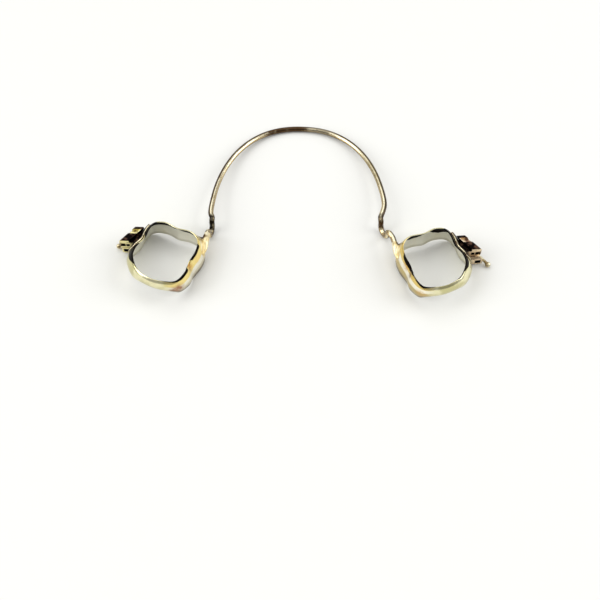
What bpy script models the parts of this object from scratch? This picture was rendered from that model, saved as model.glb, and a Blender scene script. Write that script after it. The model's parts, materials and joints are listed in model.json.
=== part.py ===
"""A fixed lower lingual arch.

One round steel wire runs behind the lower front teeth. In front of each end it
is bent into a U-shaped adjustment loop, and each end is soldered to a thin
contoured band for the first lower molar. A curved flange is welded on the
cheek side of each band. It carries a main tube, whose slot is closed by a cap,
a smaller auxiliary tube below it, and a ball hook.

Metres, +Z towards the biting side, +Y towards the front teeth.
"""
import math
from dataclasses import dataclass

import bmesh
import bpy
import numpy as np
from mathutils import Matrix, Vector

# Clearance between pieces that are soldered, welded or seated on each other
SEAT_GAP = 0.00004

# Place of the two molars in the jaw
MOLAR_SPACING = 0.0440
MOLAR_TOE_IN = math.radians(22.0)

# Molar band: a strip ring that follows the crown
STRIP_THICKNESS = 0.00018
BAND_LENGTH = 0.0106
RIGHT_BAND_WIDTH = 0.0092
LEFT_BAND_WIDTH = 0.0096
BAND_HEIGHT = 0.0044
CHEEK_BELLY = 0.00125
CHEEK_FOOT = 0.00115
TONGUE_BELLY = 0.00090
TONGUE_BELLY_FADE = 1.40
TONGUE_FOOT = 0.00100
TONGUE_FOOT_FADE = 0.80
CONTACT_BELLY = 0.00035
NECK_TUCK = 0.00010
BELLY_LEVEL = 0.40
RIM_CURL = 0.00014
CURL_LEVEL = 0.80
FOOT_SCALLOP = 0.00090
FOOT_BACK_RISE = 0.00100
TONGUE_NOTCH_DEPTH = 0.00040
TONGUE_NOTCH_PLACE = -0.0006
TONGUE_NOTCH_SPREAD = 0.00060
CHEEK_DIP_DEPTH = 0.00025
CHEEK_DIP_PLACE = 0.0010
CHEEK_DIP_SPREAD = 0.0014

# Rim of the crown, seen from above, as shares of half the width and half the
# length. The list starts at the front corner on the cheek side and runs round
# by the front, the tongue side and the back.
CROWN_RIM = (
    (0.82, 0.86),
    (0.50, 0.98),
    (0.06, 0.93),
    (-0.46, 0.98),
    (-0.83, 0.78),
    (-0.96, 0.38),
    (-0.94, -0.08),
    (-1.00, -0.42),
    (-0.86, -0.82),
    (-0.42, -0.99),
    (0.04, -1.03),
    (0.54, -0.90),
    (0.93, -0.52),
    (1.00, -0.16),
    (0.91, 0.22),
    (0.92, 0.57),
)
FRONT_TONGUE_CORNER = 3.9
RIGHT_CHEEK_MIDDLE = 13.95
LEFT_CHEEK_MIDDLE = 14.20
COLUMNS_PER_LANDMARK = 4
WALL_LEVELS = (0.0, 0.13, 0.26, 0.39, 0.52, 0.65, 0.78, 0.90, 1.0)

# Arch wire: half a superellipse on a plane that falls towards the front
WIRE_DIAMETER = 0.0009
ARCH_HALF_WIDTH = 0.0148
ARCH_DEPTH = 0.0219
ARCH_BACK = 0.0074
ARCH_SHIFT = -0.0005
ARCH_EXPONENT = 2.25
ARCH_RISE = 0.0023
ARCH_POINTS = 15
WIRE_STEP = 0.00055

# Wire end on the band wall: its level, its lap and the radii of its tapered tip
WIRE_LEVEL = 0.58
WIRE_LAP = 0.0006
WIRE_TAPER = (0.00030, 0.000375)

# Solder round the wire's end: a web on the wall that swells over the wire, and a
# sleeve that runs out along the wall behind the tip
RIGHT_SOLDER_FRONT = 0.0009
LEFT_SOLDER_FRONT = 0.0016
SOLDER_BACK = 0.0022
SOLDER_EDGE = 0.00005
SOLDER_WEB = 0.0017
SOLDER_LOW = 0.16
SOLDER_HIGH = 0.94
SOLDER_COVER = 0.00007
SOLDER_SWELL = 0.00020
SOLDER_TAIL = 0.0015
SOLDER_TAIL_RADIUS = 0.00020
SOLDER_TAIL_OFFSET = 0.00012
RIGHT_WEB_FILL = 0.40
LEFT_WEB_FILL = 0.85
TAIL_SHARES = (0.33, 0.67, 1.0)
WEB_ROUNDING = 1.2
SOLDER_COLUMNS = 15
SOLDER_ROWS = 9

# Adjustment loops: how far in front of the solder the back leg stands, how far
# apart the legs are, how far the loop bows towards the tongue, and how far in
# front of the molars the wire passes into the arch
RIGHT_LOOP_BACK = 0.0031
RIGHT_LOOP_WIDTH = 0.0022
RIGHT_LOOP_BOW = 0.0024
RIGHT_LOOP_BEND = 0.0120
LEFT_LOOP_BACK = 0.0025
LEFT_LOOP_WIDTH = 0.0021
LEFT_LOOP_BOW = 0.00075
LEFT_LOOP_BEND = 0.0098
LOOP_TOP = 0.00250
LOOP_CORNER = 0.00070

# Weld flange on the cheek side of the band
FLANGE_LENGTH = 0.0057
FLANGE_THICKNESS = 0.00025
FLANGE_LOW = 0.08
FLANGE_HIGH = 0.90
FLANGE_COLUMNS = 16
FLANGE_ROWS = 6

# Main tube, in the attachment's frame: +X to the cheek, +Y forwards, +Z up. The frame
# is turned, so that the tubes stand further from the tooth at the back, and their ends
# are cut slantwise: a place along Y is where the end crosses X = 0.
TUBE_OFFSET = math.radians(16.0)
TUBE_SLANT = -0.76
TUBE_ROOT = -0.0014
TUBE_SPLIT = -0.00065
MAIN_TUBE_LENGTH = 0.0036
MAIN_TUBE_FRONT = 0.00210
MAIN_TUBE_REACH = 0.00155
MAIN_TUBE_HEIGHT = 0.0021
TUBE_ROUND = 0.00028
SLOT_HEIGHT = 0.00056
SLOT_DEPTH = 0.00071
SLOT_LEVEL = 0.00075
SIDE_BORE_WIDTH = 0.00042
SIDE_BORE_PLACE = 0.00050
WING_GROOVE_WIDTH = 0.00030
WING_GROOVE_DEPTH = 0.00060
WAIST_LENGTH = 0.00110
WAIST_PLACE = 0.00095
WAIST_DEPTH = 0.00055
WAIST_ROOT = 0.00045

# Cap that closes the slot on the cheek side
CAP_THICKNESS = 0.00018
CAP_MARGIN = 0.00028
CAP_SETBACK = 0.00022

# Auxiliary tube below the main one
RIGHT_AUX_TUBE_BACK = -0.0024
LEFT_AUX_TUBE_BACK = -0.0016
AUX_TUBE_FRONT = 0.0018
AUX_TUBE_REACH = 0.00140
AUX_TUBE_HEIGHT = 0.0014
AUX_SLOT_PLACE = 0.00078
MOUTH_FLARE = 0.00016
MOUTH_LENGTH = 0.00045

# Ball hook on the auxiliary tube
HOOK_DIAMETER = 0.00050
HOOK_SHANK = 0.0014
BALL_DIAMETER = 0.00090
RIGHT_HOOK_INSET = 0.0
LEFT_HOOK_INSET = 0.0011
RIGHT_HOOK_REACH = 0.00005
LEFT_HOOK_REACH = 0.00050
RIGHT_HOOK_RUN = 0.00060
LEFT_HOOK_RUN = 0.00060
HOOK_FALL = 0.00020
BALL_STEPS = 7

# How far a cutter runs past the face that it opens, and how thick the blocks are
# that clear the band's wall
OVERCUT = 0.0002
BLOCK_DEPTH = 0.0040

# Plain finishes: colour, metallic value and roughness
FINISHES = {
    "wire_steel": ((0.72, 0.62, 0.46, 1.0), 1.0, 0.22),
    "band_steel": ((0.80, 0.70, 0.48, 1.0), 1.0, 0.24),
    "solder_metal": ((0.78, 0.68, 0.44, 1.0), 1.0, 0.32),
    "flange_steel": ((0.50, 0.40, 0.28, 1.0), 1.0, 0.34),
    "tube_steel": ((0.58, 0.50, 0.38, 1.0), 1.0, 0.30),
    "cap_steel": ((0.62, 0.55, 0.42, 1.0), 1.0, 0.28),
    "hook_steel": ((0.55, 0.48, 0.36, 1.0), 1.0, 0.28),
}


@dataclass(frozen=True)
class Side:
    """One end of the appliance."""

    name: str
    sign: int
    band_width: float
    loop_back: float
    loop_width: float
    loop_bow: float
    loop_bend: float
    solder_front: float
    web_fill: float
    cheek_middle: float
    aux_tube_back: float
    hook_inset: float
    hook_reach: float
    hook_run: float


RIGHT = Side("right", 1, RIGHT_BAND_WIDTH, RIGHT_LOOP_BACK, RIGHT_LOOP_WIDTH, RIGHT_LOOP_BOW,
             RIGHT_LOOP_BEND, RIGHT_SOLDER_FRONT, RIGHT_WEB_FILL, RIGHT_CHEEK_MIDDLE,
             RIGHT_AUX_TUBE_BACK, RIGHT_HOOK_INSET, RIGHT_HOOK_REACH, RIGHT_HOOK_RUN)
LEFT = Side("left", -1, LEFT_BAND_WIDTH, LEFT_LOOP_BACK, LEFT_LOOP_WIDTH, LEFT_LOOP_BOW,
            LEFT_LOOP_BEND, LEFT_SOLDER_FRONT, LEFT_WEB_FILL, LEFT_CHEEK_MIDDLE,
            LEFT_AUX_TUBE_BACK, LEFT_HOOK_INSET, LEFT_HOOK_REACH, LEFT_HOOK_RUN)


def clear_scene():
    """Remove every object that the file opened with."""
    for item in list(bpy.data.objects):
        bpy.data.objects.remove(item, do_unlink=True)


def finish(name):
    """Return the plain material of one finish."""
    if name in bpy.data.materials:
        return bpy.data.materials[name]
    colour, metallic, roughness = FINISHES[name]
    material = bpy.data.materials.new(name)
    material.use_nodes = True
    shader = material.node_tree.nodes["Principled BSDF"]
    shader.inputs["Base Color"].default_value = colour
    shader.inputs["Metallic"].default_value = metallic
    shader.inputs["Roughness"].default_value = roughness
    return material


def add_empty(name, parent=None, location=(0.0, 0.0, 0.0), turn=0.0):
    """Add an empty that carries other objects."""
    empty = bpy.data.objects.new(name, None)
    empty.empty_display_size = 0.002
    empty.parent = parent
    empty.location = location
    empty.rotation_euler = (0.0, 0.0, turn)
    bpy.context.scene.collection.objects.link(empty)
    return empty


def add_mesh(side, name, vertices, faces, parent, material=None):
    """Add a closed mesh, mirrored across X on the left side."""
    name = side.name + "_" + name
    shape = bmesh.new()
    made = [shape.verts.new((side.sign * x, y, z)) for x, y, z in vertices]
    for face in faces:
        shape.faces.new([made[index] for index in face])
    bmesh.ops.recalc_face_normals(shape, faces=shape.faces)
    mesh = bpy.data.meshes.new(name)
    shape.to_mesh(mesh)
    shape.free()
    item = bpy.data.objects.new(name, mesh)
    item.parent = parent
    bpy.context.scene.collection.objects.link(item)
    if material:
        mesh.materials.append(finish(material))
        mesh.shade_smooth()
        mesh.set_sharp_from_angle(angle=math.radians(35.0))
    else:
        item.hide_render = True
        item.display_type = "WIRE"
    return item


def cut(item, cutter):
    """Take the cutter's shape out of an object."""
    modifier = item.modifiers.new("cut " + cutter.name, "BOOLEAN")
    modifier.operation = "DIFFERENCE"
    modifier.object = cutter


def curve_point(before, here, after, beyond, part):
    """Place and slope on the smooth curve between two of four points."""
    first = (after - before) / 2
    second = before - 2.5 * here + 2.0 * after - beyond / 2
    third = (beyond - before) / 2 + 1.5 * (here - after)
    place = here + part * (first + part * (second + part * third))
    slope = first + part * (2.0 * second + 3.0 * part * third)
    return place, slope


def rim_point(side, position):
    """Place and slope on the closed rim, where whole positions are landmarks."""
    half = np.array((side.band_width / 2, BAND_LENGTH / 2))
    start = math.floor(position)
    near = [np.array(CROWN_RIM[(start + step) % len(CROWN_RIM)]) * half for step in (-1, 0, 1, 2)]
    return curve_point(*near, position - start)


def dip(place, centre, spread):
    """Share of a dip's depth at a place along the rim."""
    return math.exp(-(((place - centre) / spread) ** 2))


def tooth_side(side, position, level):
    """Point of the strip's tooth side, in the band's own frame."""
    (across, along), (run_x, run_y) = rim_point(side, position)
    length = math.hypot(run_x, run_y)
    out_x, out_y = run_y / length, -run_x / length
    contact = out_y * out_y
    back_share = 0.5 - along / BAND_LENGTH
    to_cheek = out_x > 0.0
    side_belly, side_foot = CHEEK_BELLY, CHEEK_FOOT
    if not to_cheek:
        side_belly = TONGUE_BELLY * max(0.0, 1.0 - back_share / TONGUE_BELLY_FADE)
        side_foot = TONGUE_FOOT * max(0.0, 1.0 - back_share / TONGUE_FOOT_FADE)
    belly = side_belly * (1.0 - contact) + CONTACT_BELLY * contact
    foot = side_foot * (1.0 - contact) - NECK_TUCK * contact
    pull = (belly - foot * (1.0 - BELLY_LEVEL) ** 2) / (2.0 * BELLY_LEVEL * (1.0 - BELLY_LEVEL))
    outset = foot * (1.0 - level) ** 2 + 2.0 * pull * level * (1.0 - level)
    outset -= RIM_CURL * max(0.0, (level - CURL_LEVEL) / (1.0 - CURL_LEVEL)) ** 2
    if to_cheek:
        rim_fall = CHEEK_DIP_DEPTH * dip(along, CHEEK_DIP_PLACE, CHEEK_DIP_SPREAD)
    else:
        rim_fall = TONGUE_NOTCH_DEPTH * dip(along, TONGUE_NOTCH_PLACE, TONGUE_NOTCH_SPREAD)
    top = BAND_HEIGHT - rim_fall * (1.0 - contact)
    bottom = FOOT_SCALLOP * contact + FOOT_BACK_RISE * max(0.0, 2.0 * back_share - 1.0) ** 1.2
    height = bottom + (top - bottom) * level
    return Vector((across + out_x * outset, along + out_y * outset, height))


def wall_point(side, position, level, offset):
    """Point at a distance outside the strip's tooth side."""
    step = 0.001
    inner = min(max(level, step), 1.0 - step)
    run = tooth_side(side, position + step, level) - tooth_side(side, position - step, level)
    rise = tooth_side(side, position, inner + step) - tooth_side(side, position, inner - step)
    return tooth_side(side, position, level) + run.cross(rise).normalized() * offset


def wall_travel(side, position, distance, level):
    """Position reached by going a distance along the outside of the wall."""
    step = math.copysign(0.02, distance)
    left = abs(distance)
    here = wall_point(side, position, level, STRIP_THICKNESS)
    while left > 0.0:
        there = wall_point(side, position + step, level, STRIP_THICKNESS)
        gone = (there - here).length
        if gone > left:
            return position + step * left / gone
        left -= gone
        position += step
        here = there
    return position


def sheet_solid(inner, outer, closed):
    """Vertices and faces of a sheet between two grids of points, column by column."""
    columns, rows = len(inner), len(inner[0])
    vertices = [point for grid in (inner, outer) for column in grid for point in column]
    shift = rows * columns
    faces = []
    for column in range(columns if closed else columns - 1):
        here = column * rows
        there = (column + 1) % columns * rows
        for row in range(rows - 1):
            quad = (here + row, there + row, there + row + 1, here + row + 1)
            faces.append(quad)
            faces.append(tuple(shift + index for index in reversed(quad)))
        for row in (0, rows - 1):
            faces.append((here + row, there + row, shift + there + row, shift + here + row))
    if not closed:
        for here in (0, (columns - 1) * rows):
            for row in range(rows - 1):
                low, high = here + row, here + row + 1
                faces.append((low, high, shift + high, shift + low))
    return vertices, faces


def wall_sheet(side, positions, levels, inner, outer, closed=False):
    """Sheet that lies between two distances from the strip's tooth side."""
    grids = [[[wall_point(side, position, level, offset) for level in levels]
              for position in positions] for offset in (inner, outer)]
    return sheet_solid(*grids, closed)


def wall_block(side, name, positions, levels, offset, inward, parent):
    """Cutter that fills the room on the tooth's side of a distance from the wall.

    The wall must face away from the inward direction all along the positions.
    """
    lift = Vector((0.0, 0.0, BAND_HEIGHT))
    outer = []
    for position in positions:
        column = [wall_point(side, position, level, offset) for level in levels]
        outer.append([column[0] - lift, *column, column[-1] + lift])
    shift = Vector((*inward, 0.0)).normalized() * BLOCK_DEPTH
    inner = [[point + shift for point in column] for column in outer]
    return add_mesh(side, name, *sheet_solid(inner, outer, False), parent)


def build_band(side, seat):
    """The strip ring, from its scalloped foot to its curled rim."""
    count = len(CROWN_RIM) * COLUMNS_PER_LANDMARK
    positions = [column / COLUMNS_PER_LANDMARK for column in range(count)]
    ring = wall_sheet(side, positions, WALL_LEVELS, 0.0, STRIP_THICKNESS, closed=True)
    return add_mesh(side, "molar_band", *ring, seat, "band_steel")


def band_to_jaw(side, point):
    """Turn a point of the right band's frame into the jaw's frame on either side."""
    turned = Matrix.Rotation(MOLAR_TOE_IN, 3, "Z") @ point
    return Vector((side.sign * (turned.x + MOLAR_SPACING / 2), turned.y, turned.z))


def jaw_to_band(side, point):
    """Turn a point of the jaw's frame into the right band's frame."""
    moved = Vector((side.sign * point.x - MOLAR_SPACING / 2, point.y, point.z))
    return Matrix.Rotation(-MOLAR_TOE_IN, 3, "Z") @ moved


def lap_point(side, distance, radius=WIRE_DIAMETER / 2):
    """Centre of the wire where it lies on the wall, at a distance past the corner."""
    position = wall_travel(side, FRONT_TONGUE_CORNER, distance, WIRE_LEVEL)
    offset = STRIP_THICKNESS + SEAT_GAP + radius
    return band_to_jaw(side, wall_point(side, position, WIRE_LEVEL, offset))


def arch_point(angle):
    """Point of the arch: 0 degrees is its right end and 180 degrees its left end."""
    power = 2.0 / ARCH_EXPONENT
    aside = math.copysign(abs(math.cos(angle)) ** power, math.cos(angle))
    forward = abs(math.sin(angle)) ** power
    height = WIRE_DIAMETER / 2 + ARCH_RISE * (1.0 - forward)
    return Vector((ARCH_SHIFT + ARCH_HALF_WIDTH * aside, ARCH_BACK + ARCH_DEPTH * forward, height))


def bend_angle(bend):
    """Angle of the arch at which it is a given distance in front of the molars."""
    return math.asin(((bend - ARCH_BACK) / ARCH_DEPTH) ** (ARCH_EXPONENT / 2.0))


def arc(centre, radius, first, last, steps):
    """Points along an arc, as distance forwards and height."""
    points = []
    for index in range(steps + 1):
        angle = math.radians(first + (last - first) * index / steps)
        points.append((centre[0] + radius * math.cos(angle), centre[1] + radius * math.sin(angle)))
    return points


def loop_points(side):
    """Points of one adjustment loop, from the band to the arch."""
    lap = lap_point(side, 0.0)
    back, front = side.loop_back, side.loop_back + side.loop_width
    half = side.loop_width / 2
    profile = [(back - LOOP_CORNER * 2.0, lap.z)]
    profile += arc((back - LOOP_CORNER, lap.z - LOOP_CORNER), LOOP_CORNER, 90.0, 0.0, 4)
    profile += arc((back + half, WIRE_DIAMETER / 2 + half), half, 180.0, 360.0, 8)
    profile += arc((front + LOOP_CORNER, LOOP_TOP - LOOP_CORNER), LOOP_CORNER, 180.0, 90.0, 4)
    end, half_way = WIRE_TAPER[:2]
    points = [lap_point(side, WIRE_LAP, end), lap_point(side, WIRE_LAP / 2, half_way), lap]
    for forward, height in profile:
        share = max(0.0, min(1.0, forward / (front + LOOP_CORNER)))
        inward = side.loop_bow * share * share * (3.0 - 2.0 * share)
        points.append(Vector((lap.x - side.sign * inward, lap.y + forward, height)))
    return points


def smooth_route(points, step):
    """Points about a step apart on the smooth curve through the given ones."""
    ends = [2 * points[0] - points[1], *points, 2 * points[-1] - points[-2]]
    route = []
    for before, here, after, beyond in zip(ends, ends[1:], ends[2:], ends[3:]):
        count = max(1, round((after - here).length / step))
        for index in range(count):
            route.append(curve_point(before, here, after, beyond, index / count)[0])
    return route + [points[-1]]


def wire_route():
    """Centre line of the whole wire, from the right band to the left one."""
    first = bend_angle(RIGHT.loop_bend)
    last = math.pi - bend_angle(LEFT.loop_bend)
    arch = []
    for index in range(ARCH_POINTS):
        arch.append(arch_point(first + (last - first) * index / (ARCH_POINTS - 1)))
    return smooth_route(loop_points(RIGHT) + arch + loop_points(LEFT)[::-1], WIRE_STEP)


def add_rod(name, points, radii, parent, material):
    """A round rod along a route, with a radius for each point."""
    data = bpy.data.curves.new(name, "CURVE")
    data.dimensions = "3D"
    data.bevel_depth = 1.0
    data.bevel_resolution = 3
    data.use_fill_caps = True
    data.resolution_u = 1
    data.render_resolution_u = 0
    spline = data.splines.new("POLY")
    spline.points.add(len(points) - 1)
    for item, point, radius in zip(spline.points, points, radii):
        item.co = (*point, 1.0)
        item.radius = radius
    rod = bpy.data.objects.new(name, data)
    rod.parent = parent
    data.materials.append(finish(material))
    bpy.context.scene.collection.objects.link(rod)
    return rod


def rod_mesh(points, radii, sides=16):
    """Vertices and faces of a round rod with a radius for each point."""
    vertices = []
    faces = []
    side = None
    for index, point in enumerate(points):
        ahead = points[min(index + 1, len(points) - 1)] - points[max(index - 1, 0)]
        ahead.normalize()
        side = side - ahead * side.dot(ahead) if side else ahead.orthogonal()
        side.normalize()
        other = ahead.cross(side)
        for turn in range(sides):
            angle = 2.0 * math.pi * turn / sides
            vertices.append(point + radii[index] * (math.cos(angle) * side + math.sin(angle) * other))
    for ring in range(len(points) - 1):
        for turn in range(sides):
            here, there = ring * sides + turn, ring * sides + (turn + 1) % sides
            faces.append((here, there, there + sides, here + sides))
    last = (len(points) - 1) * sides
    faces.append(tuple(range(sides))[::-1])
    faces.append(tuple(range(last, last + sides)))
    return vertices, faces


def solder_web(side, route, positions):
    """Web of solder that swells from the wall to the wire's centre line."""
    base = STRIP_THICKNESS + SEAT_GAP
    inner, outer = [], []
    for column, position in enumerate(positions):
        along = 2.0 * column / (len(positions) - 1) - 1.0
        spread = math.sqrt(1.0 - 0.8 * along * along)
        inner.append([])
        outer.append([])
        for row in range(SOLDER_ROWS):
            across = 2.0 * row / (SOLDER_ROWS - 1) - 1.0
            reach = SOLDER_HIGH - WIRE_LEVEL if across > 0.0 else WIRE_LEVEL - SOLDER_LOW
            level = WIRE_LEVEL + across * spread * reach
            foot = wall_point(side, position, level, base + SOLDER_EDGE)
            wire = min(route, key=lambda point: (point - foot).length)
            fill = 1.0 - (1.0 - side.web_fill) * along * along
            if along > 0.0:
                fill = math.sqrt(1.0 - along * along)
            pull = fill * (1.0 - across * across) ** WEB_ROUNDING
            swell = 1.0 + SOLDER_SWELL / (wire - foot).length
            inner[-1].append(wall_point(side, position, level, base))
            outer[-1].append(foot + (wire - foot) * pull * swell)
    return sheet_solid(inner, outer, False)


def build_solder(side, seat):
    """The solder: a sleeve round the wire's end that runs out into a web on the wall."""
    edge = lap_point(side, 0.0).y + SOLDER_WEB
    start = wall_travel(side, FRONT_TONGUE_CORNER, -side.solder_front, WIRE_LEVEL)
    stop = wall_travel(side, FRONT_TONGUE_CORNER, SOLDER_BACK, WIRE_LEVEL)
    positions = [start + (stop - start) * column / (SOLDER_COLUMNS - 1) for column in range(SOLDER_COLUMNS)]
    line = [jaw_to_band(side, point) for point in smooth_route(loop_points(side), WIRE_STEP)]
    covered = sum(1 for point in line if band_to_jaw(side, point).y < edge)
    line = line[:covered + 1]
    radii = [*WIRE_TAPER, *[WIRE_DIAMETER / 2] * (len(line) - len(WIRE_TAPER))]
    sleeve_line = line[:covered]
    sleeve_radii = [radius + SOLDER_COVER for radius in radii[:covered]]
    for share in TAIL_SHARES:
        position = wall_travel(side, FRONT_TONGUE_CORNER, WIRE_LAP + SOLDER_TAIL * share, WIRE_LEVEL)
        offset = STRIP_THICKNESS + SEAT_GAP + radii[0] + (SOLDER_TAIL_OFFSET - radii[0]) * share
        sleeve_line.insert(0, wall_point(side, position, WIRE_LEVEL, offset))
        sleeve_radii.insert(0, (radii[0] + SOLDER_COVER) * (1.0 - share) + SOLDER_TAIL_RADIUS * share)
    web = add_mesh(side, "solder_joint", *solder_web(side, sleeve_line, positions), seat, "solder_metal")
    sleeve = add_mesh(side, "solder_sleeve", *rod_mesh(sleeve_line, sleeve_radii), seat)
    join = web.modifiers.new("join sleeve", "BOOLEAN")
    join.operation = "UNION"
    join.use_self = True
    join.object = sleeve

    wider = [positions[0] - 1.0, *positions, positions[-1] + 1.0]
    levels = [level / (SOLDER_ROWS - 1) for level in range(SOLDER_ROWS)]
    base = STRIP_THICKNESS + SEAT_GAP
    cut(web, wall_block(side, "wall_cutter", wider, levels, base - SEAT_GAP / 4, (1.0, -1.0), seat))
    bore_radii = [radius + SEAT_GAP for radius in radii]
    bore_line = [line[0] + (line[0] - line[1]).normalized() * SEAT_GAP, *line[1:]]
    cut(web, add_mesh(side, "wire_bore_cutter", *rod_mesh(bore_line, bore_radii), seat))
    return web


def build_flange(side, seat):
    """The curved weld flange, and a cutter that keeps the tubes clear of it."""
    middle = (FLANGE_LOW + FLANGE_HIGH) / 2
    back = wall_travel(side, side.cheek_middle, -FLANGE_LENGTH / 2, middle)
    front = wall_travel(side, side.cheek_middle, FLANGE_LENGTH / 2, middle)
    base = STRIP_THICKNESS + SEAT_GAP
    top = base + FLANGE_THICKNESS
    positions = [back + (front - back) * index / FLANGE_COLUMNS for index in range(FLANGE_COLUMNS + 1)]
    levels = [FLANGE_LOW + (FLANGE_HIGH - FLANGE_LOW) * index / FLANGE_ROWS
              for index in range(FLANGE_ROWS + 1)]
    sheet = wall_sheet(side, positions, levels, base, top)
    flange = add_mesh(side, "weld_flange", *sheet, seat, "flange_steel")
    wider = [back - 1.0, *positions, front + 1.0]
    return flange, wall_block(side, "tube_seat_cutter", wider, levels, top + SEAT_GAP, (-1.0, 0.0), seat)


def attachment_frame(side, seat):
    """Empty on the flange's outer face: +X to the cheek, +Y along the tubes, +Z up."""
    middle = (FLANGE_LOW + FLANGE_HIGH) / 2
    offset = STRIP_THICKNESS + SEAT_GAP + FLANGE_THICKNESS
    place = wall_point(side, side.cheek_middle, middle, offset)
    ahead = wall_point(side, side.cheek_middle + 0.7, middle, offset)
    ahead -= wall_point(side, side.cheek_middle - 0.7, middle, offset)
    turn = side.sign * (math.atan2(-ahead.x, ahead.y) + TUBE_OFFSET)
    return add_empty(side.name + "_attachment", seat, (side.sign * place.x, place.y, place.z), turn)


def rounded_outline(left, right, low, high, radius, steps=4):
    """Rectangle whose two outer corners, at the right, are rounded."""
    outline = [(left, low)]
    for centre_z, first in ((low + radius, -90.0), (high - radius, 0.0)):
        for index in range(steps + 1):
            angle = math.radians(first + 90.0 * index / steps)
            outline.append((right - radius + radius * math.cos(angle), centre_z + radius * math.sin(angle)))
    return outline + [(left, high)]


def loft(sections):
    """Vertices and faces through slanting sections, each an outline at a place along Y."""
    vertices = []
    faces = []
    for outline, place in sections:
        vertices += [(x, place + TUBE_SLANT * x, z) for x, z in outline]
    count = len(sections[0][0])
    for index in range(len(sections) - 1):
        start = index * count
        for corner in range(count):
            here, there = start + corner, start + (corner + 1) % count
            faces.append((here, there, there + count, here + count))
    last = (len(sections) - 1) * count
    faces.append(tuple(range(count)))
    faces.append(tuple(range(last, last + count)))
    return vertices, faces


def box(left, right, back, front, low, high):
    """Vertices and faces of a box with slanting ends."""
    outline = [(left, low), (right, low), (right, high), (left, high)]
    return loft([(outline, back), (outline, front)])


def build_main_tube(side, frame, seat_cutter):
    """The main tube: a body with tie wings and a slot open to the cheek."""
    low = TUBE_SPLIT + SEAT_GAP / 2
    high = low + MAIN_TUBE_HEIGHT
    back = MAIN_TUBE_FRONT - MAIN_TUBE_LENGTH
    reach = MAIN_TUBE_REACH
    outline = rounded_outline(TUBE_ROOT, reach, low, high, TUBE_ROUND)
    body = loft([(outline, back), (outline, MAIN_TUBE_FRONT)])
    tube = add_mesh(side, "main_tube", *body, frame, "tube_steel")
    slot_low = low + SLOT_LEVEL - SLOT_HEIGHT / 2
    bore_low = low + SLOT_LEVEL - SIDE_BORE_WIDTH / 2
    bore_left = SIDE_BORE_PLACE - SIDE_BORE_WIDTH / 2
    waist_back = WAIST_PLACE - WAIST_LENGTH / 2
    cuts = {
        "slot": box(reach - SLOT_DEPTH, reach + OVERCUT, back - OVERCUT, MAIN_TUBE_FRONT + OVERCUT,
                    slot_low, slot_low + SLOT_HEIGHT),
        "side_bore": box(bore_left, bore_left + SIDE_BORE_WIDTH, back - OVERCUT,
                         MAIN_TUBE_FRONT + OVERCUT, bore_low, bore_low + SIDE_BORE_WIDTH),
        "wing_groove": box(TUBE_ROOT - OVERCUT, WING_GROOVE_WIDTH, back - OVERCUT,
                           MAIN_TUBE_FRONT + OVERCUT, high - WING_GROOVE_DEPTH, high + OVERCUT),
        "waist": box(WAIST_ROOT, reach + OVERCUT, waist_back, waist_back + WAIST_LENGTH,
                     high - WAIST_DEPTH, high + OVERCUT),
    }
    for name, shape in cuts.items():
        cut(tube, add_mesh(side, name + "_cutter", *shape, frame))
    cut(tube, seat_cutter)
    return tube


def build_cap(side, frame):
    """The thin cap over the main tube's slot."""
    middle = TUBE_SPLIT + SEAT_GAP / 2 + SLOT_LEVEL
    half = SLOT_HEIGHT / 2 + CAP_MARGIN
    left = MAIN_TUBE_REACH + SEAT_GAP
    outline = rounded_outline(left, left + CAP_THICKNESS, middle - half, middle + half, CAP_THICKNESS / 2)
    back = MAIN_TUBE_FRONT - MAIN_TUBE_LENGTH + CAP_SETBACK
    plate = loft([(outline, back), (outline, MAIN_TUBE_FRONT - CAP_SETBACK)])
    return add_mesh(side, "slot_cap", *plate, frame, "cap_steel")


def build_auxiliary_tube(side, frame, seat_cutter):
    """The auxiliary tube: a closed rectangular bore with a flared front mouth."""
    high = TUBE_SPLIT - SEAT_GAP / 2
    low = high - AUX_TUBE_HEIGHT
    back = side.aux_tube_back
    outline = rounded_outline(TUBE_ROOT, AUX_TUBE_REACH, low, high, TUBE_ROUND)
    body = loft([(outline, back), (outline, AUX_TUBE_FRONT)])
    tube = add_mesh(side, "auxiliary_tube", *body, frame, "tube_steel")
    middle = (low + high) / 2

    def bore(extra):
        half_depth, half_height = SLOT_DEPTH / 2 + extra, SLOT_HEIGHT / 2 + extra
        left, right = AUX_SLOT_PLACE - half_depth, AUX_SLOT_PLACE + half_depth
        return [(left, middle - half_height), (right, middle - half_height),
                (right, middle + half_height), (left, middle + half_height)]

    sections = [(bore(0.0), back - OVERCUT), (bore(0.0), AUX_TUBE_FRONT - MOUTH_LENGTH),
                (bore(MOUTH_FLARE), AUX_TUBE_FRONT), (bore(MOUTH_FLARE), AUX_TUBE_FRONT + OVERCUT)]
    cut(tube, add_mesh(side, "bore_cutter", *loft(sections), frame))
    cut(tube, seat_cutter)
    return tube


def ball_end(end, ahead, shank, ball):
    """Points and radii that carry a rod of one radius on into a ball."""
    first = -math.acos(shank / ball)
    centre = end - ahead * ball * math.sin(first)
    points, radii = [], []
    for index in range(1, BALL_STEPS + 1):
        angle = first + (math.pi / 2 - first) * index / (BALL_STEPS + 0.5)
        points.append(centre + ahead * ball * math.sin(angle))
        radii.append(ball * math.cos(angle))
    return points, radii


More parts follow.
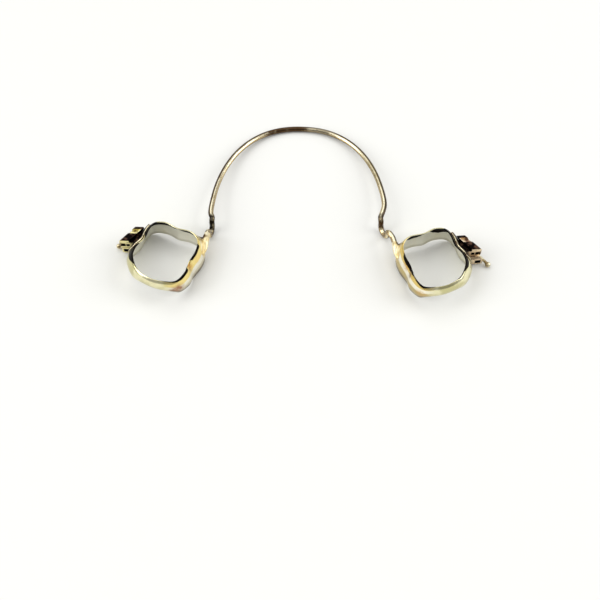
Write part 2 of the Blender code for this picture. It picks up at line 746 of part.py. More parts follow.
def build_hook(side, frame):
    """The ball hook: a bent wire on the auxiliary tube, with a ball at its end."""
    radius = HOOK_DIAMETER / 2
    beside = AUX_TUBE_REACH + SEAT_GAP + radius
    level = TUBE_SPLIT - AUX_TUBE_HEIGHT / 2
    bend = side.aux_tube_back + TUBE_SLANT * AUX_TUBE_REACH + side.hook_inset
    run = side.hook_run
    points = [
        Vector((beside, bend + HOOK_SHANK, level)),
        Vector((beside, bend, level)),
        Vector((beside + side.hook_reach * 0.35, bend - run * 0.6, level - HOOK_FALL * 0.5)),
        Vector((beside + side.hook_reach, bend - run, level - HOOK_FALL)),
    ]
    route = smooth_route(points, HOOK_DIAMETER / 2)
    ball = ball_end(route[-1], (route[-1] - route[-2]).normalized(), radius, BALL_DIAMETER / 2)
    route += ball[0]
    radii = [radius] * (len(route) - len(ball[0])) + ball[1]
    mirrored = [Vector((side.sign * point.x, point.y, point.z)) for point in route]
    return add_rod(side.name + "_hook", mirrored, radii, frame, "hook_steel")


def centre_on_origin(root):
    """Shift the root so that the model's box stands centred on the origin."""
    bpy.context.view_layer.update()
    graph = bpy.context.evaluated_depsgraph_get()
    corners = []
    for item in bpy.context.scene.objects:
        if item.type in {"MESH", "CURVE"} and not item.hide_render:
            solid = item.evaluated_get(graph)
            mesh = solid.to_mesh()
            corners += [solid.matrix_world @ vertex.co for vertex in mesh.vertices]
            solid.to_mesh_clear()
    spans = [(min(corner[axis] for corner in corners), max(corner[axis] for corner in corners))
             for axis in range(3)]
    root.location = (-sum(spans[0]) / 2, -sum(spans[1]) / 2, -spans[2][0])


def main():
    """Build the appliance."""
    clear_scene()
    root = add_empty("lingual_arch")
    route = wire_route()
    radii = [WIRE_DIAMETER / 2] * len(route)
    for index, radius in enumerate(WIRE_TAPER):
        radii[index] = radii[-1 - index] = radius
    add_rod("lingual_arch_wire", route, radii, root, "wire_steel")
    for side in (RIGHT, LEFT):
        seat = add_empty(side.name + "_molar_seat", root, (side.sign * MOLAR_SPACING / 2, 0.0, 0.0),
                         side.sign * MOLAR_TOE_IN)
        build_band(side, seat)
        build_solder(side, seat)
        seat_cutter = build_flange(side, seat)[1]
        frame = attachment_frame(side, seat)
        build_main_tube(side, frame, seat_cutter)
        build_cap(side, frame)
        build_auxiliary_tube(side, frame, seat_cutter)
        build_hook(side, frame)
    centre_on_origin(root)


main()
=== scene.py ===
"""The looks of a fixed lower lingual arch: a tinted steel wire between two molar bands.

The tubes and the caps are the solids' own shapes with rounded edges. All other pieces
are built again from the same sizes as the solids, with finer curves and flowed solder,
and every piece is dressed in heat-tinted or tarnished steel, whose colours also carry
painted highlights, reflections and shade. Lengths are in metres. The jaw's frame has its
origin midway between the two bands.
"""

import json
import logging
import math
from dataclasses import dataclass, field
from enum import Enum
from typing import Callable, Sequence

import bmesh
import bpy
import numpy as np
from mathutils import Matrix, Vector

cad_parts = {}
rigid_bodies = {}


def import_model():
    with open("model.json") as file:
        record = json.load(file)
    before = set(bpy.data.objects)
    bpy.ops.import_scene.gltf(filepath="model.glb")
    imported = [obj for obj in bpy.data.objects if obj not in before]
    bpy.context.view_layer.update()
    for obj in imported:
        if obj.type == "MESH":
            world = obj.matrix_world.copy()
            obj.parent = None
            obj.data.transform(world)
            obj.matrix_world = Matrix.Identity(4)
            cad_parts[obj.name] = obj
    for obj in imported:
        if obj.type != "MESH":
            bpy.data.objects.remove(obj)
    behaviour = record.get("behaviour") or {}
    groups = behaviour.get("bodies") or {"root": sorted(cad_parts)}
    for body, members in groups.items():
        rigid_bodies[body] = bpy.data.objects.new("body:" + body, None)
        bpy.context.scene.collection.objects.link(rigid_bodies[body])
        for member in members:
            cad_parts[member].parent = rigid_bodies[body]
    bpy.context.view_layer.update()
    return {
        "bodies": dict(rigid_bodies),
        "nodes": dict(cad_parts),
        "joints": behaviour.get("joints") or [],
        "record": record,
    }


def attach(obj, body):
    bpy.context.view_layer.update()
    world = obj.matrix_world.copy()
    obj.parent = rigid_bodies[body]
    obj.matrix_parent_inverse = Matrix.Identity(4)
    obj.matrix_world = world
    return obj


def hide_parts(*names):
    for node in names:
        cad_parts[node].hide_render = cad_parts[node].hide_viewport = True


LOG = logging.getLogger("lingual_arch")
BODY = "root"

JAW_ORIGIN = np.array((-0.000425, -0.011721, 0.000047))
SEAT_GAP = 0.00004
STRIP = 0.00018
WIRE_RADIUS = 0.00045
TIP_RADIUS = 0.00030
WIRE_LEVEL = 0.58
WIRE_LAP = 0.0006
MM = 1000.0

Array = np.ndarray
Pair = tuple[float, float]
Triple = tuple[float, float, float]
Box = tuple[float, float, float, float]
Colour = tuple[float, float, float, float]
Faces = list[list[int]]


def tint(red: int, green: int, blue: int) -> Colour:
    """Turn a display colour, 0 to 255, into the linear colour that a shader takes."""
    return (*(((part / 255 + 0.055) / 1.055) ** 2.4 for part in (red, green, blue)), 1.0)


class Side(Enum):
    """The two ends of the appliance, with the sign of their X."""

    RIGHT = 1
    LEFT = -1

    @property
    def label(self) -> str:
        """The side's name as the nodes have it."""
        return self.name.lower()


def operator(operation: str, swapped: bool = False) -> Callable[["Socket", object], "Socket"]:
    """Make the method of a link for an operator, with the other value first if swapped."""
    def method(self: "Socket", other: object) -> "Socket":
        """Join this link and another value."""
        return self.math(operation, *((other, self) if swapped else (self, other)))

    return method


@dataclass(frozen=True)
class Socket:
    """A link from an output in a node tree, with operators that add Math nodes."""

    owner: "NodeTree"
    source: bpy.types.NodeSocket

    __add__, __radd__ = operator("ADD"), operator("ADD", True)
    __sub__, __rsub__ = operator("SUBTRACT"), operator("SUBTRACT", True)
    __mul__, __rmul__ = operator("MULTIPLY"), operator("MULTIPLY", True)

    def math(self, operation: str, first: object, second: object) -> "Socket":
        """Add a Math node for two links or numbers."""
        return self.owner.add("ShaderNodeMath", {"operation": operation}, {0: first, 1: second})

    def rise(self, low: float, high: float) -> "Socket":
        """A smooth step from 0 at one value to 1 at another, which may be the lower one."""
        return self.owner.add("ShaderNodeMapRange", {"interpolation_type": "SMOOTHSTEP"},
                              {"Value": self, "From Min": low, "From Max": high})


class NodeTree:
    """A tree of nodes that is built by expressions."""

    def __init__(self, tree: bpy.types.NodeTree) -> None:
        """Start with an empty tree."""
        self.tree = tree
        tree.nodes.clear()

    def node(self, kind: str, settings: dict[str, object], inputs: dict[object, object]) -> bpy.types.Node:
        """Add a node.

        Args:
            kind: the node's type.
            settings: its settings, which are set first.
            inputs: values or links, by socket name or number.

        Returns:
            The node.
        """
        node = self.tree.nodes.new(kind)
        for name, value in settings.items():
            setattr(node, name, value)
        for name, value in inputs.items():
            if isinstance(value, Socket):
                self.tree.links.new(value.source, node.inputs[name])
            else:
                node.inputs[name].default_value = value
        return node

    def add(self, kind: str, settings: dict[str, object], inputs: dict[object, object],
            output: object = 0) -> Socket:
        """Add a node and give one of its outputs, by name or number."""
        return Socket(self, self.node(kind, settings, inputs).outputs[output])


class Shader(NodeTree):
    """One material's node tree."""

    def __init__(self, name: str) -> None:
        """Open an empty material.

        Args:
            name: the material's name.
        """
        self.material = bpy.data.materials.new(name)
        self.material.use_nodes = True
        super().__init__(self.material.node_tree)
        self.place = self.add("ShaderNodeTexCoord", {}, {}, "Object")

    def mark(self, name: str, output: str = "Fac") -> Socket:
        """A value that the mesh keeps in an attribute."""
        return self.add("ShaderNodeAttribute", {"attribute_name": name}, {}, output)

    def clouds(self, scale: float, detail: float = 3.0, vector: Socket | None = None) -> Socket:
        """Soft clouds round 0.5.

        Args:
            scale: clouds per unit of length.
            detail: number of finer layers.
            vector: coordinates, if not the object's own.

        Returns:
            The clouds.
        """
        return self.add("ShaderNodeTexNoise", {},
                        {"Vector": vector or self.place, "Scale": scale, "Detail": detail})

    def stretch(self, vector: Socket, scale: Triple) -> Socket:
        """Coordinates stretched along the axes."""
        return self.add("ShaderNodeVectorMath", {"operation": "MULTIPLY"}, {0: vector, 1: scale})

    def near(self, centre: Triple, reach: float, core: float) -> Socket:
        """A smooth spot round a place, full inside a share of its reach."""
        return self.add("ShaderNodeVectorMath", {"operation": "DISTANCE"}, {0: self.place, 1: centre},
                        "Value").rise(reach, reach * core)

    def mix(self, share: object, first: object, second: object) -> Socket:
        """Blend from a first to a second colour."""
        return self.add("ShaderNodeMix", {"data_type": "RGBA"}, {0: share, 6: first, 7: second}, 2)

    def close(self, colour: Socket, rough: object, metal: object, relief: Socket | None = None,
              depth: float = 0.0) -> bpy.types.Material:
        """End the tree in a Principled shader.

        Args:
            colour: the surface's colour.
            rough: its roughness.
            metal: how metallic it is.
            relief: height of its fine relief, if it has one.
            depth: depth of that relief, in metres.

        Returns:
            The material.
        """
        inputs = {"Base Color": colour, "Metallic": metal, "Roughness": rough}
        if relief:
            inputs["Normal"] = self.add("ShaderNodeBump", {}, {"Distance": depth, "Height": relief})
        body = self.add("ShaderNodeBsdfPrincipled", {}, inputs)
        self.node("ShaderNodeOutputMaterial", {}, {"Surface": body})
        return self.material


@dataclass(frozen=True)
class StainAndShade:
    """A spot laid on the metal, used for stains and for painted shade, with its place, how far it runs and
    its share at the centre.
    """

    centre: Triple
    reach: float
    colour: Colour
    strength: float = 1.0


def lay_spots(shader: Shader, colour: object, stains: Sequence[StainAndShade], core: float = 0.25,
            even: float = 0.45) -> object:
    """Lay stains and spots of painted shade with uneven edges over a colour.

    Args:
        shader: the shader that they belong to.
        colour: the colour or link below them.
        stains: the stains, in the order in which they are laid.
        core: share of a stain's reach inside which it is full.
        even: share of a stain that has no clouds in it.

    Returns:
        The colour with the spots laid over it.
    """
    ragged = shader.clouds(1600.0, 4.0).rise(0.30, 0.62)
    for stain in stains:
        mask = shader.near(stain.centre, stain.reach, core)
        share = (mask * (even + (1.0 - even) * ragged)) * stain.strength
        colour = shader.mix(share, colour, stain.colour)
    return colour


@dataclass(frozen=True)
class StripSteel:
    """Heat-tinted band steel with painted light: a painted highlight stripe between gold and bronze on
    the tongue side, khaki behind, and painted shadow lines on the rim and at the foot.

    Shine is the level of the painted highlight stripe on the tongue side. The golds are the share of
    gold above it and of bronze below it, partly heat tint and partly painted reflection, and foot is
    the level of the painted olive shadow line.
    """

    shine: float
    high_gold: float
    low_gold: float
    gold: Colour
    painted_highlight: Colour = tint(252, 248, 230)
    bronze: Colour = tint(196, 174, 102)
    khaki: Colour = tint(204, 198, 148)
    pale: Colour = tint(236, 230, 190)
    olive: Colour = tint(112, 98, 58)
    soot_and_shade: Colour = tint(18, 14, 11)
    satin: Colour = tint(232, 230, 216)
    foot: float = 0.24

    def make(self, name: str, stains: Sequence[StainAndShade]) -> bpy.types.Material:
        """Build the material.

        The mesh gives the level on the wall, the inner face, the share of khaki and the
        distance into the painted black shadow line along the rim.

        Args:
            name: the material's name.
            stains: stains and spots of painted shade on the wall.

        Returns:
            The material.
        """
        shader = Shader(name)
        level, inside, behind, soot_and_shade = (shader.mark(mark) for mark in ("level", "inside", "behind", "soot_and_shade"))
        cloud = shader.clouds(420.0, 3.0)
        fine = shader.clouds(2600.0, 3.0)
        # Painted reflection: a pale highlight stripe round the shine level on the tongue side, with gold
        # above and bronze below it that are partly heat tint.
        wall = level + (cloud - 0.5) * 0.09
        above = wall.rise(self.shine + 0.08, self.shine + 0.14) * self.high_gold
        below = wall.rise(self.shine - 0.08, self.shine - 0.18) * self.low_gold
        tongue = shader.mix(above, shader.mix(below, self.painted_highlight, self.bronze), self.gold)
        back = shader.mix(cloud.rise(0.40, 0.64), self.khaki, self.pale)
        colour = shader.mix(behind, tongue, back)
        colour = lay_spots(shader, colour, stains)
        scratch = shader.clouds(900.0, 4.0, shader.stretch(shader.place, (1.0, 1.0, 7.0)))
        colour = shader.mix(scratch.rise(0.64, 0.80) * 0.22, colour, self.olive)
        lining = shader.mix(cloud.rise(0.45, 0.75) * 0.35, self.satin, self.khaki)
        colour = shader.mix(inside, colour, lining)
        # Painted shade: an olive shadow line along the foot, where the band's lower edge lies in shade;
        # thinner on the back walls and fainter inside.
        foot = (level + behind * 0.13 + (fine - 0.5) * 0.04).rise(self.foot + 0.05, self.foot - 0.05)
        colour = shader.mix(foot * 0.9 * (1.0 - inside * 0.7), colour, self.olive)
        # Painted shadow: the black line along the rim stands for the shaded gap between band and tooth, with
        # some dark oxide on the edge.
        soot_and_shade = (soot_and_shade + (fine - 0.5) * 0.045).rise(-0.012, 0.012)
        colour = shader.mix(soot_and_shade, colour, self.soot_and_shade)
        rough = 0.17 + scratch.rise(0.35, 0.75) * 0.10 + inside * 0.30 + soot_and_shade * 0.22
        metal = 1.0 - inside * 0.35 * (1.0 - soot_and_shade)
        return shader.close(colour, rough, metal, scratch + cloud * 0.6, 0.000006)


@dataclass(frozen=True)
class DrawnWireSteel:
    """Drawn arch wire with painted light: a painted highlight along its top, painted reflections that are
    dark towards the teeth and tan towards the tongue, and painted shade underneath.
    """

    bright: Colour = tint(240, 230, 196)
    tan: Colour = tint(196, 170, 122)
    brown: Colour = tint(66, 46, 30)
    soot_and_shade: Colour = tint(24, 18, 14)

    def make(self, name: str, stains: Sequence[StainAndShade]) -> bpy.types.Material:
        """Build the material.

        The mesh gives how far each point faces away from the arch's middle and up, which places the
        painted reflections and shade.

        Args:
            name: the material's name.
            stains: burns and spots of painted shade on the wire.

        Returns:
            The material.
        """
        shader = Shader(name)
        around, along = shader.mark("around", "Vector"), shader.mark("along")
        lines = shader.add("ShaderNodeVectorMath", {"operation": "ADD"},
                           {0: shader.stretch(around, (1.0, 1.0, 0.0)),
                            1: shader.add("ShaderNodeCombineXYZ", {}, {"Z": along * 24.0})})
        drawn = shader.clouds(9.0, 3.0, lines)
        patches = shader.clouds(520.0, 4.0)
        # Painted light: pale on top as a painted highlight; tan and then brown on the tongue side and brown
        # towards the teeth as painted reflections; brown underneath as painted shade.
        lean = shader.mark("outward") + (patches - 0.5) * 0.30
        colour = shader.mix(patches.rise(0.46, 0.70) * 0.4, self.bright, self.tan)
        colour = shader.mix(lean.rise(-0.15, -0.60) * 0.85, colour, self.tan)
        colour = shader.mix(lean.rise(-0.62, -0.95) * 0.7, colour, self.brown)
        colour = shader.mix(lean.rise(0.10, 0.50) * 0.95, colour, self.brown)
        colour = shader.mix(shader.mark("upward").rise(-0.10, -0.60) * 0.6, colour, self.brown)
        colour = lay_spots(shader, colour, stains)
        colour = shader.mix(drawn.rise(0.62, 0.82) * 0.35, colour, self.brown)
        pits = shader.clouds(3200.0, 2.0).rise(0.68, 0.76)
        colour = shader.mix(pits * 0.6, colour, self.soot_and_shade)
        rough = 0.20 + drawn.rise(0.3, 0.8) * 0.14 + pits * 0.2
        return shader.close(colour, rough, 1.0, drawn - pits * 0.6, 0.000006)


@dataclass(frozen=True)
class FlowedSolder:
    """Silver solder that ran and set, yellow gold with a brown flux line at its front edge."""

    pale: Colour = tint(244, 234, 200)
    gold: Colour = tint(222, 200, 142)
    flux: Colour = tint(112, 84, 46)

    def make(self, name: str, stains: Sequence[StainAndShade]) -> bpy.types.Material:
        """Build the material.

        Args:
            name: the material's name.
            stains: flux stains on the solder.

        Returns:
            The material.
        """
        shader = Shader(name)
        cloud = shader.clouds(700.0, 3.0)
        colour = shader.mix(cloud.rise(0.36, 0.66), self.gold, self.pale)
        colour = shader.mix(shader.clouds(2400.0, 3.0).rise(0.64, 0.76) * 0.4, colour, self.flux)
        colour = lay_spots(shader, colour, stains)
        pits = shader.clouds(4200.0, 2.0).rise(0.64, 0.76)
        return shader.close(colour, 0.34 + cloud * 0.18, 1.0, cloud - pits * 0.5, 0.000012)


@dataclass(frozen=True)
class BurntAndShadedSteel:
    """Cast steel that the soldering flame has darkened, worn bright on its edges and ends, and painted dark
    as shade in a tube's groove, bores and openings.

    In millimetres, mouths are the left, right, low and high sides of a tube's openings,
    round which shade is painted, wing_top the heights where a wing's top begins, waist the
    places along the tube between which the wings are cut down, and blend how soft those two
    ends are.
    """

    dark: Colour
    bare: Colour
    glow: Colour
    mouths: tuple[Box, ...] = ()
    wing_top: Pair = (1.36, 1.42)
    waist: Pair = (0.34, 1.60)
    blend: Pair = (0.12, 0.14)

    def make(self, name: str) -> bpy.types.Material:
        """Build the material.

        The mesh marks the worn faces, and on a tube the groove and bores that are painted dark as
        shade. On a tube it also gives each point's place across and along the tube and its height, in
        millimetres: the tops of the wings are darker, and shade is painted round the openings.

        Args:
            name: the material's name.

        Returns:
            The material.
        """
        shader = Shader(name)
        cloud = shader.clouds(1300.0, 4.0)
        # The dark colour is the flame's darkening, and on a tube's groove and bores it is painted shade.
        burn_and_shade = shader.mix(cloud.rise(0.47, 0.68) * 0.65, self.dark, self.glow)
        place, across, height = (shader.mark(mark) for mark in ("place", "across", "height"))
        back, front = self.waist
        waist = place.rise(back, back + self.blend[0]) * place.rise(front, front - self.blend[1])
        worn = shader.mark("worn") - height.rise(*self.wing_top) * (1.0 - waist)
        spots = shader.clouds(3200.0, 2.0).rise(0.62, 0.70)
        share = (worn + (cloud - 0.5) * 0.5).rise(0.30, 0.58)
        colour = shader.mix(share, burn_and_shade, shader.mix(cloud.rise(0.42, 0.62), self.bare, self.glow))
        colour = shader.mix(worn.rise(0.75, 0.95) * 0.8, colour, self.bare)
        colour = shader.mix(spots * 0.8, colour, self.dark)
        # Painted shade round the tube's openings.
        for left, right, low, high in self.mouths:
            sides = across.rise(left - 0.06, left) * across.rise(right + 0.06, right)
            mouth_shade = sides * height.rise(low - 0.20, low - 0.08) * height.rise(high + 0.20, high + 0.08)
            colour = shader.mix(mouth_shade, colour, self.dark)
        rough = 0.30 + cloud * 0.20 + spots * 0.15 - share * 0.05
        return shader.close(colour, rough, 1.0, cloud - spots * 0.4, 0.000015)


@dataclass(frozen=True)
class FloorCard:
    """The plain pale card that the appliance lies on."""

    colour: Colour = tint(236, 236, 232)
    grain: Colour = tint(228, 228, 222)

    def make(self, name: str) -> bpy.types.Material:
        """Build the material.

        Args:
            name: the material's name.

        Returns:
            The material.
        """
        shader = Shader(name)
        colour = shader.mix(shader.clouds(300.0, 3.0) * 0.12, self.colour, self.grain)
        return shader.close(colour, 0.75, 0.0)


def link_object(name: str, data: bpy.types.ID) -> bpy.types.Object:
    """Make an object and put it in the scene.

    Args:
        name: the object's name.
        data: its mesh, light or camera.

    Returns:
        The object.
    """
    item = bpy.data.objects.new(name, data)
    bpy.context.scene.collection.objects.link(item)
    return item


def set_marks(mesh: bpy.types.Mesh, marks: dict[str, Sequence[float]], domain: str = "POINT") -> None:
    """Keep numbers for a mesh's points or faces in attributes, by name."""
    for name, values in marks.items():
        mesh.attributes.new(name, "FLOAT", domain).data.foreach_set("value", values)


def clean(mesh: bpy.types.Mesh, weld: float, flat: float = 0.0) -> None:
    """Join a mesh's equal points and turn its faces outwards.

    Args:
        mesh: the mesh.
        weld: how close points are that become one.
        flat: angle in degrees up to which neighbouring faces become one.
    """
    shape = bmesh.new()
    shape.from_mesh(mesh)
    bmesh.ops.remove_doubles(shape, verts=shape.verts, dist=weld)
    if flat:
        bmesh.ops.dissolve_limit(shape, angle_limit=math.radians(flat), verts=shape.verts, edges=shape.edges)
    bmesh.ops.recalc_face_normals(shape, faces=shape.faces)
    shape.to_mesh(mesh)
    shape.free()


def mesh_object(name: str, points: Array, faces: Sequence[Sequence[int]],
                finish: bpy.types.Material | None, marks: dict[str, Sequence[float]] | None = None,
                sharp: float = 40.0) -> bpy.types.Object:
    """Make a closed mesh whose faces point outwards.

    Args:
        name: the piece's name.
        points: its vertices, one to a row.
        faces: its faces, as vertex numbers.
        finish: its material, if it has one.
        marks: numbers for its points, by attribute name.
        sharp: angle in degrees from which an edge is sharp.

    Returns:
        The piece.
    """
    mesh = bpy.data.meshes.new(name)
    mesh.from_pydata(points.tolist(), [], faces)
    set_marks(mesh, marks or {})
    clean(mesh, 1e-9)
    mesh.shade_smooth()
    mesh.set_sharp_from_angle(angle=math.radians(sharp))
    if finish:
        mesh.materials.append(finish)
    return link_object(name, mesh)


def settle(piece: bpy.types.Object) -> None:
    """Turn a piece with modifiers into a plain mesh.

    Args:
        piece: the piece, which loses its modifiers.
    """
    graph = bpy.context.evaluated_depsgraph_get()
    mesh = bpy.data.meshes.new_from_object(piece.evaluated_get(graph))
    mesh.name = piece.name
    piece.modifiers.clear()
    piece.data = mesh


def hand_over(piece: bpy.types.Object, node: str) -> None:
    """Let a finished piece stand for its solid.

    Args:
        piece: the finished piece.
        node: the solid that it replaces.
    """
    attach(piece, BODY)
    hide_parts(node)
    LOG.info("%s: %d faces", piece.name, len(piece.data.polygons))


def quads(grid: Array) -> Faces:
    """Faces of a grid of vertex numbers."""
    corners = (grid[:-1, :-1], grid[1:, :-1], grid[1:, 1:], grid[:-1, 1:])
    return np.stack(corners, axis=-1).reshape(-1, 4).tolist()


def tube_faces(rows: int, columns: int, closed: bool) -> Faces:
    """Join a grid of points whose rows are closed rings.

    Args:
        rows: number of rings.
        columns: number of points in a ring.
        closed: whether the last ring joins the first; if not, both ends are capped.

    Returns:
        The faces.
    """
    grid = np.arange(rows * columns).reshape(rows, columns)
    rings = np.hstack((grid, grid[:, :1]))
    if closed:
        return quads(np.vstack((rings, rings[:1])))
    return quads(rings) + [grid[0].tolist(), grid[-1].tolist()]


def slab(inner: Array, outer: Array) -> tuple[Array, Faces]:
    """Make a solid between two sheets of as many columns and rows.

    Args:
        inner: points of the sheet next to the wall, by column and row.
        outer: points of the sheet away from it.

    Returns:
        The points, the inner sheet's first, and the faces.
    """
    count = outer.size // 3
    grid = np.arange(count).reshape(outer.shape[:2])
    border = np.concatenate((grid[:, 0], grid[-1, 1:], grid[-2::-1, -1], grid[0, -2::-1]))
    faces = quads(grid) + quads(grid[:, ::-1] + count) + quads(np.stack((border, border + count), axis=1))
    return np.concatenate((inner.reshape(-1, 3), outer.reshape(-1, 3))), faces


def unit(vectors: Array) -> Array:
    """Vectors of length 1 in the same directions."""
    return vectors / np.linalg.norm(vectors, axis=-1, keepdims=True)


def wire_radius(distance: float) -> float:
    """Radius of the arch wire at a distance from its tapered tip."""
    return min(WIRE_RADIUS, TIP_RADIUS + (WIRE_RADIUS - TIP_RADIUS) * distance / WIRE_LAP)


def distances(route: Sequence[Array]) -> Array:
    """Distance of each point of a route from its first one."""
    steps = np.linalg.norm(np.diff(np.array(route), axis=0), axis=1)
    return np.concatenate(((0.0,), np.cumsum(steps)))


def cubic(before: Array, here: Array, after: Array, beyond: Array) -> tuple[Array, Array, Array]:
    """Terms of the smooth curve from here to the point after.

    Args:
        before: the point before this one.
        here: where the curve starts.
        after: where it ends.
        beyond: the point after that.

    Returns:
        The factors of the part of the way, of its square and of its cube.
    """
    return ((after - before) / 2, before - 2.5 * here + 2.0 * after - beyond / 2,
            (beyond - before) / 2 + 1.5 * (here - after))


def curve_through(points: Sequence[Array], step: float) -> list[Array]:
    """Draw the smooth curve through some points.

    Args:
        points: the points.
        step: how far apart the curve's points are, about.

    Returns:
        Points of the curve.
    """
    ends = [2 * points[0] - points[1], *points, 2 * points[-1] - points[-2]]
    route = []
    for before, here, after, beyond in zip(ends, ends[1:], ends[2:], ends[3:]):
        first, second, third = cubic(before, here, after, beyond)
        count = max(1, round(float(np.linalg.norm(after - here)) / step))
        for part in (index / count for index in range(count)):
            route.append(here + part * (first + part * (second + part * third)))
    return route + [points[-1]]


@dataclass(frozen=True)
class Crown:
    """The wall of one molar as its band follows it.

    A position counts landmarks round the rim, and a level runs from 0 at the foot to 1
    at the rim. Both may be arrays. Cheek, tongue and contact say how far the belly and
    the foot stand out on those sides, and tongue_fade how soon both fade to the back.
    """

    side: Side
    width: float
    length: float = 0.0106
    height: float = 0.0044
    cheek: Pair = (0.00125, 0.00115)
    tongue: Pair = (0.00090, 0.00100)
    tongue_fade: Pair = (1.40, 0.80)
    contact: Pair = (0.00035, -0.00010)
    belly_level: float = 0.40
    rim_curl: float = 0.00014
    curl_level: float = 0.80
    foot_scallop: float = 0.00090
    foot_back_rise: float = 0.00100
    tongue_notch: Triple = (0.00040, -0.0006, 0.00060)
    cheek_dip: Triple = (0.00025, 0.0010, 0.0014)
    spacing: float = 0.0440
    toe_in: float = math.radians(22.0)
    front_tongue_corner: float = 3.9
    landmarks: tuple[Pair, ...] = (
        (0.82, 0.86), (0.50, 0.98), (0.06, 0.93), (-0.46, 0.98), (-0.83, 0.78), (-0.96, 0.38),
        (-0.94, -0.08), (-1.00, -0.42), (-0.86, -0.82), (-0.42, -0.99), (0.04, -1.03), (0.54, -0.90),
        (0.93, -0.52), (1.00, -0.16), (0.91, 0.22), (0.92, 0.57))

    def rim(self, position: Array) -> tuple[Array, Array]:
        """Find places on the closed rim.

        Args:
            position: where they are, in landmarks.

        Returns:
            The places and the rim's slopes there.
        """
        start = np.floor(position).astype(int)
        part = (position - start)[..., None]
        marks = np.array(self.landmarks) * (self.width / 2, self.length / 2)
        before, here, after, beyond = (marks[(start + step) % len(marks)] for step in (-1, 0, 1, 2))
        first, second, third = cubic(before, here, after, beyond)
        return (here + part * (first + part * (second + part * third)),
                first + part * (2.0 * second + 3.0 * part * third))

    def tooth_side(self, position: Array, level: Array) -> Array:
        """Find points of the strip's tooth side, in the band's own frame.

        Args:
            position: places along the rim.
            level: heights on the wall.

        Returns:
            The points.
        """
        position, level = np.broadcast_arrays(np.asarray(position, float), np.asarray(level, float))
        place, run = self.rim(position)
        run = unit(run)
        out_x, out_y = run[..., 1], -run[..., 0]
        contact = out_y * out_y
        back = 0.5 - place[..., 1] / self.length
        cheek = out_x > 0.0
        belly, foot = (np.where(cheek, outer, inner * np.maximum(0.0, 1.0 - back / fade))
                       * (1.0 - contact) + end * contact
                       for outer, inner, fade, end in zip(self.cheek, self.tongue, self.tongue_fade,
                                                          self.contact))
        middle = self.belly_level
        pull = (belly - foot * (1.0 - middle) ** 2) / (2.0 * middle * (1.0 - middle))
        outset = foot * (1.0 - level) ** 2 + 2.0 * pull * level * (1.0 - level)
        curl = np.maximum(0.0, (level - self.curl_level) / (1.0 - self.curl_level))
        outset = outset - self.rim_curl * curl ** 2
        falls = [depth * np.exp(-(((place[..., 1] - centre) / spread) ** 2))
                 for depth, centre, spread in (self.cheek_dip, self.tongue_notch)]
        top = self.height - np.where(cheek, *falls) * (1.0 - contact)
        bottom = self.foot_scallop * contact
        bottom = bottom + self.foot_back_rise * np.maximum(0.0, 2.0 * back - 1.0) ** 1.2
        return np.stack((place[..., 0] + out_x * outset, place[..., 1] + out_y * outset,
                         bottom + (top - bottom) * level), axis=-1)

    def wall(self, position: object, level: object, offset: object) -> Array:
        """Find points at a distance outside the strip's tooth side, in the band's own frame.

        Args:
            position: places along the rim.
            level: heights on the wall.
            offset: distances from the tooth side.

        Returns:
            The points.
        """
        position, level, offset = np.broadcast_arrays(*(np.asarray(value, float)
                                                        for value in (position, level, offset)))
        step = 0.001
        inner = np.clip(level, step, 1.0 - step)
        run = self.tooth_side(position + step, level) - self.tooth_side(position - step, level)
        rise = self.tooth_side(position, inner + step) - self.tooth_side(position, inner - step)
        return self.tooth_side(position, level) + unit(np.cross(run, rise)) * offset[..., None]

    def travel(self, position: float, distance: float, level: float) -> float:
        """Go along the outside of the wall.

        Args:
            position: where to start.
            distance: how far to go; a negative one goes back.
            level: height on the wall.

        Returns:
            The position that is reached.
        """
        step = math.copysign(0.02, distance)
        left = abs(distance)
        here = self.wall(position, level, STRIP)
        while left > 0.0:
            there = self.wall(position + step, level, STRIP)
            gone = float(np.linalg.norm(there - here))
            if gone > left:
                return position + step * left / gone
            left -= gone
            position += step
            here = there
        return position

    def to_jaw(self, points: Array) -> Array:
        """Turn points of the right band's frame into the jaw's frame on this side."""
        turned = points @ np.array(Matrix.Rotation(self.toe_in, 3, "Z")).T
        return (turned + (self.spacing / 2, 0.0, 0.0)) * (self.side.value, 1.0, 1.0)

    def to_part(self, points: Array) -> Array:
        """Turn points of the right band's frame into the model's frame on this side."""
        return self.to_jaw(points) + JAW_ORIGIN

    def spot(self, position: float, level: float) -> Triple:
        """Place on the outside of the band, in the model's frame."""
        return tuple(self.to_part(self.wall(position, level, STRIP)).tolist())

    def lap(self, distance: float) -> Array:
        """Find the centre of the wire where it lies on the wall.

        Args:
            distance: how far it is past the front tongue corner.

        Returns:
            The point, in the jaw's frame.
        """
        position = self.travel(self.front_tongue_corner, distance, WIRE_LEVEL)
        radius = wire_radius(WIRE_LAP - distance)
        return self.to_jaw(self.wall(position, WIRE_LEVEL, STRIP + SEAT_GAP + radius))


